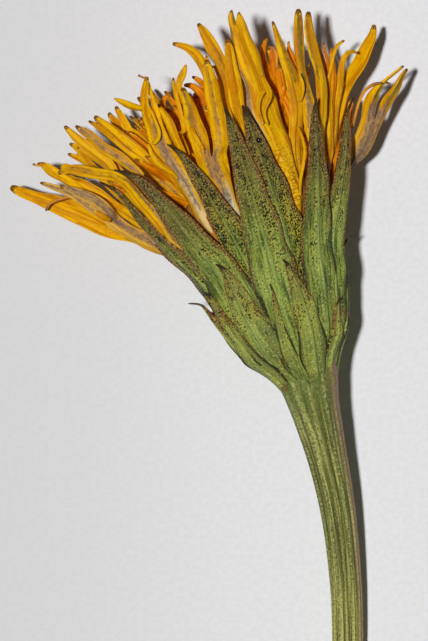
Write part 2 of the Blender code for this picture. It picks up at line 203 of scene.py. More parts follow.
# The steps that a pattern is built from: each one's node and settings, the
# inputs that the field and then the other values go to, and the output.
STEPS = {
    "scaled": ("VectorMath", {"operation": "MULTIPLY"}, (0, 1), 0),
    "noise": ("TexNoise", {}, ("Vector", "Scale", "Detail", "Roughness"), 0),
    "rise": ("MapRange", {"interpolation_type": "SMOOTHSTEP"}, ("Value", 1, 2, 3, 4), 0),
    "size": ("Math", {"operation": "ABSOLUTE"}, (0,), 0),
    "plus": ("Math", {"operation": "ADD"}, (0, 1), 0),
    "less": ("Math", {"operation": "SUBTRACT"}, (0, 1), 0),
    "taken from": ("Math", {"operation": "SUBTRACT"}, (1, 0), 0),
    "times": ("Math", {"operation": "MULTIPLY"}, (0, 1), 0),
    "mix": ("Mix", {"data_type": "RGBA"}, (0, 6, 7), 2),
    "coat": ("Mix", {"data_type": "RGBA"}, (6, 0, 7), 2),
    "relief": ("Bump", {}, ("Height", "Distance", "Strength"), 0),
}


class Field:
    """A value or a colour that varies over a skin."""

    def __init__(self, socket):
        self.socket = socket

    def to(self, step, *values):
        """The field that a step makes from this one and the values after it."""
        kind, settings, inputs, output = STEPS[step]
        node = add_node(self.socket.id_data, kind, dict(zip(inputs, (self, *values))), **settings)
        return Field(node.outputs[output])

    def __add__(self, other):
        return self.to("plus", other)

    def __sub__(self, other):
        return self.to("less", other)

    def __rsub__(self, other):
        return self.to("taken from", other)

    def __mul__(self, other):
        return self.to("times", other)

    def coated(self, *coats):
        """This colour under coats, each a share and the colour that it lays on."""
        colour = self
        for share, paint in coats:
            colour = colour.to("coat", share, paint)
        return colour


def new_surface(name):
    """A material, its shader, the piece's lie in mm and the three parts of its paint."""
    material = bpy.data.materials.new(name)
    material.use_nodes = True
    tree = material.node_tree
    lie, paint = [Field(add_node(tree, "Attribute", {}, attribute_name=layer).outputs["Vector"])
                  for layer in ("lie", "paint")]
    parts = [Field(part) for part in add_node(tree, "SeparateXYZ", {0: paint}).outputs]
    return material, tree.nodes["Principled BSDF"], lie, parts


def pattern(lie, scale, detail=2.0, roughness=0.5):
    """Noise whose scale is given per mm across, along and between pieces."""
    return lie.to("scaled", scale).to("noise", 1.0, detail, roughness)


def stalk_skin():
    """Living stem skin, waxy and finely mealy, its ribs pale threads, with glints painted on in pale specks.
    """
    material, shader, lie, (rib, blush, head) = new_surface("stem_skin_ribbed")
    streak = pattern(lie, (5.0, 0.5, 1.0), 4.0)
    patch = pattern(lie, (0.8, 0.16, 1.0))
    meal = pattern(lie, (9.0, 6.5, 1.0), 3.0, 0.65)      # grains of 0.06 mm, drawn at 0.1 mm
    height = Field(add_node(shader.id_data, "SeparateXYZ", {0: lie}).outputs[1])
    low = height.to("rise", 14.0, 25.0, 1.0, 0.0)
    # Fibres make lines, two or three to each rib, that fade out under the head.
    line = pattern(lie, (5.2, 0.12, 1.0), 3.0, 0.6)
    plain = head.to("rise", 0.0, 0.8, 1.0, 0.15)
    colour = streak.to("rise", 0.36, 0.64).to("mix", "505E22", "86903E").coated(
        (patch.to("rise", 0.35, 0.7, 0.0, 0.5), "84803A"),
        (low * 0.75, "BEBC5C"),
        (rib.to("rise", 0.0, 0.35, 0.4, 0.0) * streak.to("rise", 0.35, 0.6), "3F4A1C"),
        (head * 0.35, "7C8E48"),
        (plain * line.to("rise", 0.41, 0.51, 0.95, 0.0), "3A4016"),
        (plain * line.to("rise", 0.53, 0.63, 0.0, 0.8), "C8C676"),
        (meal.to("rise", 0.49, 0.59, 0.0, 0.62), "504C1C"),
        (rib * meal.to("rise", 0.42, 0.58, 0.8, 0.15), "C8C470"),
        # Painted highlight: pale glints in fine specks, most of them on the ribs.
        ((rib + 0.25) * meal.to("rise", 0.42, 0.34, 0.0, 0.6), "E0DDA0"),
        (blush * streak.to("rise", 0.3, 0.6, 0.45, 0.85), "A08160"),
        (blush * head * meal.to("rise", 0.42, 0.6, 0.2, 0.9), "9C4F58"),
    )
    feed(shader, {"Base Color": colour, "IOR": 1.42, "Roughness": meal.to("rise", 0.3, 0.7, 0.42, 0.66),
                  "Normal": (streak + meal * -1.4).to("relief", 0.05 * MM, 0.6)})
    return material


def make_stalk():
    """The ribbed tube from the cut end up, and its seat under the bracts."""
    course = smooth_run(STALK_COURSE, STALK_STEPS)
    turn = np.arange(STALK_SIDES) * 360.0 / STALK_SIDES
    wave = np.sin(np.radians(turn) * RIBS / 2.0 + RIB_PHASE)
    crest = np.exp(-(wave / RIB_NARROWNESS) ** 2)
    blush = np.clip(np.cos(np.radians(turn - BLUSH_ANGLE)) * BLUSH_STRENGTH - BLUSH_START, 0.0, 1.0)
    travelled = np.concatenate([[0.0], np.cumsum(spans(course[:, :3]))])
    rings, lie, paint = [], [], []
    for i, (row, way) in enumerate(zip(course, directions(course[:, :3]))):
        left = STALK_STEPS - 1 - i
        right = np.cross(way, UPWARD)
        right /= np.linalg.norm(right)
        top = np.cross(right, way)
        fade = np.clip(left / RIB_FADE_STEPS, RIB_LEAST, 1.0)
        head = np.clip(1.0 - left / NECK_STEPS, 0.0, 1.0)
        flat = 1.0 - (1.0 - FLATNESS) * head
        reach = row[3] * (1.0 + RIB_HEIGHT * fade * (2.0 * crest - 1.0))
        out = np.outer(np.sin(np.radians(turn)), right) + flat * np.outer(np.cos(np.radians(turn)), top)
        rings.append(FOOT + row[:3] + out * reach[:, None])
        lie.append(beside(np.radians(turn), travelled[i], 0.0))
        paint.append(beside(crest * (0.5 + 0.5 * fade), blush, head))
    for height, inset in zip(SEAT_HEIGHTS, SEAT_INSET):
        radius = (cup_radius(height) - inset) * (1.0 + SEAT_RIB_SHARE * RIB_HEIGHT * (2.0 * crest - 1.0))
        rings.append(head_place(ring_place(height, turn, radius)))
        lie.append(lie[-1] + SEAT_LIE_STEP)
        paint.append(paint[-1])
    places = np.array(rings)
    places[..., 2] = np.maximum(places[..., 2], 0.0)
    make_piece("stalk", places, grid_faces(len(rings), STALK_SIDES, ringed=True), lie, paint,
               [stalk_skin()], "stem")


make_stalk()

# The cup of bracts. Seventeen lance-shaped green leaves in two layers stand on
# the stalk's seat, each lapped over its neighbour, with a pale midrib and a dark
# hooked tip. Scurf makes them black and gold in the upper half.

BRACT_THICK = 0.34
BRACT_EDGE_THICK = 0.10                  # at the margins
THIN_FROM = 0.7                          # share of a bract where it begins to thin
THIN_OVER = 0.26
BRACT_KEEL = 0.19                        # how far the midrib stands proud
KEEL_HALF_WIDTH = 0.11
KEEL_FADE = 0.5                          # share of the keel's height that is lost by the tip
HOLLOW_DEPTH = 0.10                      # of the groove on each side of the midrib
HOLLOW_AT = 0.32                         # share of the half width where it lies
HOLLOW_BREADTH = 0.16
MARGIN_LIFT = 0.05
EDGE_THINNING = 0.8                      # taken off the weight for thickness at the margins
RIPPLE_DEPTH = 0.08                      # of the margins' waves
RIPPLE_RATE = 2.6                        # radians of a wave per mm
SWAY = 0.6                               # degrees that a bract wanders to each side
WAVER = 0.05                             # share of its width that it grows or shrinks by
INNER_RISE = -0.16
OUTER_RISE = 0.24
BRACT_SHARES = (0.0, 0.10, 0.25, 0.45, 0.65, 0.82, 0.92, 0.96, 1.0)
BRACT_WIDTHS = (0.12, 0.72, 1.0, 0.95, 0.70, 0.43, 0.22, 0.13, 0.04)
BRACT_ROWS = 44
ROW_CROWDING = 0.9                       # rows stand a little closer towards the foot
BRACT_COLUMNS = (-1.0, -0.93, -0.8, -0.6, -0.4, -0.22, -0.11, 0.0,
                 0.11, 0.22, 0.4, 0.6, 0.8, 0.93, 1.0)
BRACT_FOOT = -1.3                        # the feet run down into the stalk's ribs
FOOT_SUNK = 0.16
FOOT_EMERGES = 1.9                       # mm over which a foot comes out of the stalk
MIDDLE_SHARE = 0.7
HOOK_START = 0.93                        # the share of a bract where its tip hooks
HOOK_CURL = 1.6                          # how late in that the hook bends
HOOK_DROP = 0.12                         # how far it sinks, for each mm that it stands out
TURN_RATE = 1.6                          # a turned blade has its full turn before the tip
FOOT_STAGGER = 0.6                       # mm that feet stand higher or lower

# Angle at the foot, at MIDDLE_SHARE and at the tip, height of the tip, half
# width, 1 for the outer layer, how far the tip hooks out and to the right, and
# how far the blade is turned about its midrib.
INNER_BRACTS = (
    (-66, -68, -73, 13.6, 1.40, 0, 0.25, -0.15, 0),
    (-45, -38, -48, 13.9, 1.65, 1, 0.3, -0.3, 0),
    (-17, -16, -21, 14.2, 1.15, 0, 0.15, -0.2, 0),
    (-3, 4.5, 6.5, 15.0, 1.40, 1, 0.2, -0.1, 0),
    (27, 16.5, 14, 14.8, 1.55, 0, 0.15, -0.15, 0),
    (38, 45, 47, 13.8, 1.30, 1, 0.1, 0.05, -8),
    (64, 60, 58, 10.2, 1.00, 0, 0.0, 0.0, 0),
    (54, 71, 86, 13.2, 1.10, 1, 0.2, 0.25, -42),
    (88, 92, 98, 12.0, 1.25, 0, 0.2, 0.2, 0),
    (116, 120, 124, 12.8, 1.30, 0, 0.2, 0.1, 0),
    (140, 142, 144, 13.6, 1.35, 1, 0.2, -0.2, 0),
    (163, 165, 167, 13.2, 1.30, 0, 0.15, 0.1, 0),
    (185, 186, 187, 13.5, 1.35, 1, 0.2, 0.2, 0),
    (208, 209, 210, 13.3, 1.30, 0, 0.15, -0.1, 0),
    (230, 231, 232, 13.9, 1.35, 1, 0.3, 0.1, 0),
    (254, 256, 258, 12.4, 1.20, 0, 0.1, 0.0, 0),
    (276, 276, 276, 6.2, 1.10, 0, 0.0, 0.0, 0),
)


def bract_leaf():
    """Leaf skin, matt, with scurf: flat black and gold grains 0.05 to 0.1 mm wide."""
    material, shader, lie, (across, share, kind) = new_surface("bract_leaf_scurfy")
    side = across.to("size")
    streak = pattern(lie, (6.0, 0.6, 1.0), 3.0)
    patch = pattern(lie, (0.9, 0.45, 1.0), 3.0)
    spot = pattern(lie, (1.8, 1.3, 1.0), 2.0)
    fine = pattern(lie, (12.0, 8.5, 1.0), 2.0)
    grit = pattern(lie, (12.0, 10.0, 3.0), 3.0, 0.6)
    cluster = pattern(lie, (3.2, 2.2, 2.0), 3.0, 0.6) - 0.5
    outer = kind.to("rise", 0.1, 0.4)
    inner = 1.0 - outer
    outest = kind.to("rise", 0.6, 0.9)
    # Scurf lies thick up the inner leaves and where a neighbour's margin laps
    # them, beside a bare midrib. The outer leaves are barer lower down.
    zone = (share.to("rise", 0.2, 0.7, 0.0, 0.6) + patch.to("rise", 0.38, 0.62, -0.45, 0.5)
            + inner * side.to("rise", 0.1, 0.4, 0.0, 0.5) - outer * share.to("rise", 0.4, 0.85, 0.45, 0.0)
            + side.to("rise", 0.02, 0.2, -0.5, 0.0) + outest * -0.1)
    black = fine + (zone - 0.5) * 0.25 + cluster * 0.6
    gold = grit + (zone - 0.5) * 0.10 - cluster * 0.3 + outest * 0.03
    crumb = share.to("rise", 0.55, 0.85).to("mix", "BCB440", "9C8038")
    # A dark line at each margin where leaves lap: partly the thin dark margin, partly painted shade in the
    # groove.
    lapped = (side + (streak - 0.5) * 0.3).to("rise", 0.84, 0.94, 0.0, 0.9)
    # Painted shade on the inner leaves' sides, which the outer leaves cover.
    shaded = inner * side.to("rise", 0.4, 0.65, 0.0, 0.6)
    # Thin dry margins, brown with paler crumbs, broader up the leaf.
    worn = (side + (fine - 0.5) * 0.9 + (patch - 0.5) * 0.8 + share.to("rise", 0.3, 0.9, -0.10, 0.25)
            - outest * 0.14)
    husk = share.to("rise", 0.35, 0.65).to("mix", "3A2C14", "5A3414")
    husk = husk.coated((grit.to("rise", 0.46, 0.60), "A88344"))
    foot = streak.to("rise", 0.40, 0.60).to("mix", "5A6A2C", "848E46")
    colour = streak.to("rise", 0.39, 0.61).to("mix", "4C5C20", "98AC48").coated(
        (patch.to("rise", 0.40, 0.62, 0.0, 0.65), "9CA648"),
        (patch.to("rise", 0.48, 0.36, 0.0, 0.5), "3C4A1A"),
        (spot.to("rise", 0.68, 0.74, 0.0, 0.7), "6E4218"),
        (share.to("rise", 0.45, 0.85, 0.0, 0.8) * (1.0 - outest * 0.6), "6C5C26"),
        (outest * 0.4, "989A4C"),
        # Pale specks, partly pale grains and partly painted glints, fewer up the leaf.
        (fine.to("rise", 0.41, 0.35, 0.0, 0.7) * share.to("rise", 0.4, 0.8, 1.0, 0.45), "CDD088"),
        (zone.to("rise", 0.4, 1.1, 0.0, 0.7), "32341A"),
        # Painted shade: the lower leaf darkens towards its margins, in the grooves between leaves.
        (side.to("rise", 0.6, 0.98, 0.0, 0.75) * share.to("rise", 0.35, 0.7, 1.0, 0.0), "34401A"),
        # The lapped line, low on the leaf: dark margin and painted shade.
        (lapped * share.to("rise", 0.4, 0.7, 1.0, 0.0), "2A2210"),
        # That painted shade, kept to the lower leaf.
        (shaded * share.to("rise", 0.6, 0.8, 1.0, 0.0), "1C1E0C"),
        (black.to("rise", 0.515, 0.57, 0.0, 0.95), "181206"),
        (gold.to("rise", 0.55, 0.60, 0.0, 0.85), crumb),
        (side.to("rise", 0.015, 0.08, 1.0, 0.0) * share.to("rise", 0.45, 0.8, 0.55, 0.0), "93AB5C"),
        (worn.to("rise", 0.86, 1.0, 0.0, 0.9), husk),
        (share.to("rise", 0.02, 0.14, 0.85, 0.0), foot),
        (spot.to("rise", 0.56, 0.66, 0.0, 0.6) * share.to("rise", 0.1, 0.35, 1.0, 0.0), "74401E"),
        (fine.to("rise", 0.55, 0.62, 0.0, 0.5) * share.to("rise", 0.3, 0.5, 1.0, 0.0), "40441A"),
        ((share + outest * 0.02).to("rise", 0.93, 0.98, 0.0, 0.9), "2C180C"),
    )
    feed(shader, {"Base Color": colour, "IOR": 1.42, "Specular IOR Level": 0.28,
                  "Roughness": streak.to("rise", 0.4, 0.7, 0.36, 0.56),
                  "Normal": ((fine + grit) * 0.6 + streak * 0.6).to("relief", 0.08 * MM, 0.9)})
    return material


BRACT_LEAF = bract_leaf()


def curved_between(share, foot, middle, tip):
    """A smooth run from foot to tip that passes middle at its own share."""
    m = MIDDLE_SHARE
    return (foot * (share - m) * (share - 1.0) / m + middle * share * (share - 1.0) / (m * (m - 1.0))
            + tip * share * (share - m) / (1.0 - m))


def give_body(piece, weights, thick, edge_thick, offset, rim_material=0):
    """Thickness that falls off towards the margins, and rounded edges."""
    group = piece.vertex_groups.new(name="thickness")
    for value in np.unique(np.round(weights, 2)):
        group.add(np.flatnonzero(np.round(weights, 2) == value).tolist(), float(value), "REPLACE")
    body = piece.modifiers.new("leaf_body", "SOLIDIFY")
    body.thickness = thick * MM
    body.offset = offset
    body.vertex_group = "thickness"
    body.thickness_vertex_group = edge_thick / thick
    body.material_offset = rim_material
    rounded = piece.modifiers.new("rounded", "SUBSURF")
    rounded.levels = 1
    rounded.render_levels = 1


def make_bract(name, foot, middle, tip, height, half_width, rise, hook_out, hook_side, turned, seed,
               kind=0.0, widths=BRACT_WIDTHS, foot_height=BRACT_FOOT, rows=BRACT_ROWS):
    """A lance-shaped leaf that follows the cup, keeled down its back."""
    x = np.array(BRACT_COLUMNS)
    shares = np.linspace(0.0, 1.0, rows) ** ROW_CROWDING
    places, lie, paint = [], [], []
    for share in shares:
        at = foot_height + (height - foot_height) * share
        width = half_width * np.interp(share, BRACT_SHARES, widths)
        width *= 1.0 + WAVER * math.sin(at * 2.3 + seed * 2.0) * min(1.0, share * 4.0)
        angle = curved_between(share, foot, middle, tip) + SWAY * math.sin(share * 7.0 + seed)
        emerged = np.clip((at - foot_height) / FOOT_EMERGES, 0.0, 1.0)
        radius = cup_radius(at) + (rise * emerged - FOOT_SUNK * (1.0 - emerged))
        hook = np.clip((share - HOOK_START) / (1.0 - HOOK_START), 0.0, 1.0) ** HOOK_CURL
        rib = BRACT_KEEL * np.exp(-(x * width / KEEL_HALF_WIDTH) ** 2) * (1.0 - KEEL_FADE * share)
        hollow = -HOLLOW_DEPTH * np.exp(-((np.abs(x) - HOLLOW_AT) / HOLLOW_BREADTH) ** 2)
        hollow = hollow + MARGIN_LIFT * np.abs(x) ** 6
        ripple = RIPPLE_DEPTH * np.abs(x) ** 3 * np.sin(at * RIPPLE_RATE + seed + 2.0 * np.sign(x))
        profile = rib + (hollow + ripple) * np.clip(width / half_width, 0.0, 1.0) * emerged
        spread = np.degrees(x * width / radius)
        row = ring_place(at - HOOK_DROP * hook * hook_out, angle + spread,
                         radius + profile + hook * hook_out)
        row = row + [0.0, hook * hook_side, 0.0]
        midrib = ring_place(at, angle, radius + hook * hook_out)
        turn = math.radians(turned) * min(1.0, share * TURN_RATE)
        side, front = row[:, 1] - midrib[1], row[:, 2] - midrib[2]
        row[:, 1] = midrib[1] + side * math.cos(turn) + front * math.sin(turn)
        row[:, 2] = midrib[2] - side * math.sin(turn) + front * math.cos(turn)
        places.append(head_place(row))
        lie.append(beside(x * width, at, seed * 5.0))
        paint.append(beside(x, share, kind))
    piece = make_piece(name, places, grid_faces(rows, len(x)), lie, paint,
                       [BRACT_LEAF], "involucre")
    taper = 1.0 - np.clip((shares - THIN_FROM) / THIN_OVER, 0.0, 1.0)
    weights = np.outer(taper, 1.0 - EDGE_THINNING * x ** 2).ravel()
    give_body(piece, weights, BRACT_THICK, BRACT_EDGE_THICK, -1.0)


for i, (foot, middle, tip, height, width, outer, hook_out, hook_side, turned) in enumerate(INNER_BRACTS):
    make_bract("bract_%02d" % (i + 1), foot, middle, tip, height, width, OUTER_RISE if outer else INNER_RISE,
               hook_out, hook_side, turned, i + 1.0, kind=0.5 * outer,
               foot_height=BRACT_FOOT - FOOT_STAGGER * math.sin(i * 2.4))

# The outer bractlets. Thirteen short pointed leaves at the foot of the cup, thin
# and yellower, with brown edges. Some of their dark tips stand off as hooks.

BRACTLET_RISE = 0.42
BRACTLET_ROWS = 30
BRACTLET_STAGGER = 0.4
FIRST_BRACTLET_SEED = 31.0
NARROW_WIDTHS = (1.0, 0.98, 0.8, 0.55, 0.38, 0.24, 0.14, 0.08, 0.02)   # widest at the foot
# Angle at the foot and at the tip, height of the tip, half width, how far it
# stands off the cup, how far its tip hooks out and to the right, and 1 for a
# narrow one.
BRACTLETS = (
    (-84, -86, 5.4, 0.76, -0.2, 0.62, 0.0, 0),
    (-60, -55, 5.7, 0.95, 0.0, 0.05, -0.15, 0),
    (-33, -30, 6.9, 1.20, -0.06, 0.0, -0.2, 0),
    (-11, -2, 4.8, 0.55, 0.1, 0.05, -0.1, 1),
    (19, 14, 5.9, 0.85, 0.0, 0.05, -0.2, 0),
    (52, 55, 2.7, 0.60, 0.05, 0.1, 0.1, 0),
    (80, 80, 7.0, 0.62, -0.1, 0.1, 0.1, 0),
    (98, 96, 5.9, 0.70, 0.0, 0.35, 0.1, 0),
    (122, 120, 4.6, 0.80, 0.1, 0.2, 0.0, 0),
    (150, 152, 5.6, 0.80, 0.0, 0.2, 0.0, 0),
    (182, 180, 4.4, 0.80, 0.1, 0.2, 0.0, 0),
    (212, 214, 5.8, 0.80, 0.0, 0.2, 0.0, 0),
    (244, 242, 4.6, 0.80, 0.1, 0.2, 0.0, 0),
)

for i, (foot, tip, height, width, stand, hook_out, hook_side, narrow) in enumerate(BRACTLETS):
    make_bract("bractlet_%02d" % (i + 1), foot, (foot + tip) / 2.0, tip, height, width, BRACTLET_RISE + stand,
               hook_out, hook_side, 0, i + FIRST_BRACTLET_SEED, kind=1.0,
               widths=NARROW_WIDTHS if narrow else BRACT_WIDTHS,
               foot_height=BRACT_FOOT - BRACTLET_STAGGER * math.sin(i * 1.9), rows=BRACTLET_ROWS)

# The ovaries under the ligules. They fill the cup like a bundle of ribbed
# seeds, with tawny bristles on top, and stand on the stalk's seat.

OVARY_HEIGHTS = (1.9, 2.6, 4.0, 6.0, 8.0, 9.6, 10.6, 11.2)
OVARY_RADII = (0.9, 1.6, 2.5, 3.2, 4.1, 4.6, 4.0, 2.2)
OVARY_COUNT = 17
OVARY_SIDES = 136
FLUTE_DEPTH = 0.07                       # of the radius
OVARY_SKIN_WIDTH = 4.0                   # mm of pattern for each radian round them


def plain_skin(name, scale, detail, span, colours, roughness, relief=()):
    """A skin of two colours mottled together. The mottling is its relief too, if it has one."""
    material, shader, lie, paint = new_surface(name)
    mottle = pattern(lie, scale, detail)
    colour = mottle.to("rise", *span).to("mix", *colours)
    feed(shader, {"Base Color": colour, "Roughness": roughness})
    if relief:
        feed(shader, {"Normal": mottle.to("relief", *relief)})
    return material


turn = np.arange(OVARY_SIDES) * 360.0 / OVARY_SIDES
flute = 1.0 + FLUTE_DEPTH * np.abs(np.cos(np.radians(turn) * OVARY_COUNT / 2.0))
rings = [head_place(ring_place(h, turn, r * flute)) for h, r in zip(OVARY_HEIGHTS, OVARY_RADII)]
lie = [beside(np.radians(turn) * OVARY_SKIN_WIDTH, h, 0.0) for h in OVARY_HEIGHTS]
# Tawny seed coat and bristles, painted dull and dark as they look in shade.
OVARY_COAT = plain_skin("ovary_bristled", (6.0, 0.5, 1.0), 3.0, (0.35, 0.65), ("7A4A12", "B4741C"),
                        0.8, relief=(0.08 * MM, 0.6))
make_piece("ovaries", rings, grid_faces(len(rings), OVARY_SIDES, ringed=True), lie, np.zeros_like(lie),
           [OVARY_COAT], "florets")

# The ligules that the upper side shows. Each is one floret: a thin yellow strap
# that starts as a rolled tube on the seat, opens at the cup's mouth and parts
# into blunt lobes with dark tips. A purple-grey stripe runs up its back.

PETAL_THICK = 0.12
PETAL_EDGE_THICK = 0.04
PETAL_COLUMNS = 12
PETAL_CLEARNESS = 0.2                    # share of light that sinks through a skin
PETAL_STEP = 0.36                        # mm between rows
SEAT_TOP = 2.3                           # height where the tubes start
TUBE_HALF_WIDTH = 0.42
TUBE_ROLL = 2.3                          # how far each half of a tube is rolled, in radians
TUBE_FOOT_SHARE = 0.26                   # of the mouth's radius, where a tube stands
TUBE_MIDDLE_SHARE = 0.52                 # and further up it
MOUTH_RADIUS = {"flared": 5.6, "outer": 4.6, "middle": 3.3, "inner": 1.9, "centre": 0.7}
BLUNTNESS = 0.55                         # of a lobe's end, against its width before it
BLADE_CUP = 0.5                          # how far each half of an open strap bends
LOBE_CUP = 0.5
PLEAT_DEPTH = 0.06                       # of the lengthwise pleats, in mm
BUCKLE = 0.16                            # of the strap's cross waves, of its half width
TWIST = 7.0                              # degrees that a strap wanders about its run
RIM_CLEARANCE = 0.35                     # a strap stays this far inside the bracts
RIM_HEIGHT = 11.6
LOWEST_HALF_WIDTH = 0.5                  # of a strap where the bracts hide it
NARROWING = 0.12                         # mm that this falls from station to station
LEAST_ROOM = 0.5                         # mm that a strap always has inside the bracts
TUBE_MIDDLE_HEIGHT = 0.62                # of the first station's height
WIDTH_WAVE = 0.05                        # share of its width that a strap wavers by
PLEATED_HALF_WIDTH = 0.4                 # narrower straps have lower pleats
LEAST_ROWS = 5
LOBE_MORE_ROWS = 2
TURN_SPAN = (0.45, 1.0)                  # share of its run where a strap turns its back
OPEN_SPAN = (0.35, 0.7)                  # where its tube opens
CREAM_SPAN = (0.7, 1.0)                  # where the cream base falls off
DUST_AND_GLINT_SPAN = (0.45, 0.75)                 # and where the dust and painted glints end
STRIPE_FADE = 0.2                        # share of the run that a stripe takes to begin
BLOOM_FADE = 0.55                        # share of a lobe that its bloom takes to end
LOBE_FLARE = 0.2                         # how far a lobe's edges bend back
FLARE_SPAN = (0.1, 0.6)                  # and the share of it where they do
OWN_SPAN = (0.0, 0.35)                   # share of a lobe where it leaves the body's form
LOBE_SHIFT = 0.25                        # how far to a side a lobe's stripe may lie
LOBE_STRIPE_BREADTH = 0.42
TOOTH_COLUMNS = 4
TOOTH_STRIPE = 0.3                       # of the strap's stripe
TOOTH_STRIPE_BREADTH = 0.4
TOOTH_DARKNESS = 0.4                     # of its dark tip, against a lobe's
DARK_TIP = (0.0, 0.24)                   # mm from a lobe's end over which its dark fades
DARK_EDGE = (0.1, 1.0)                   # and over which its edges' dark does
EDGE_BAND = (0.7, 1.0)                   # share of the half width that is edge
EDGE_DARKNESS = 0.6
CAP_WIDTH = 0.45                         # of the last row's, for the round end of a lobe
CAP_LENGTH = 0.6                         # of its half width
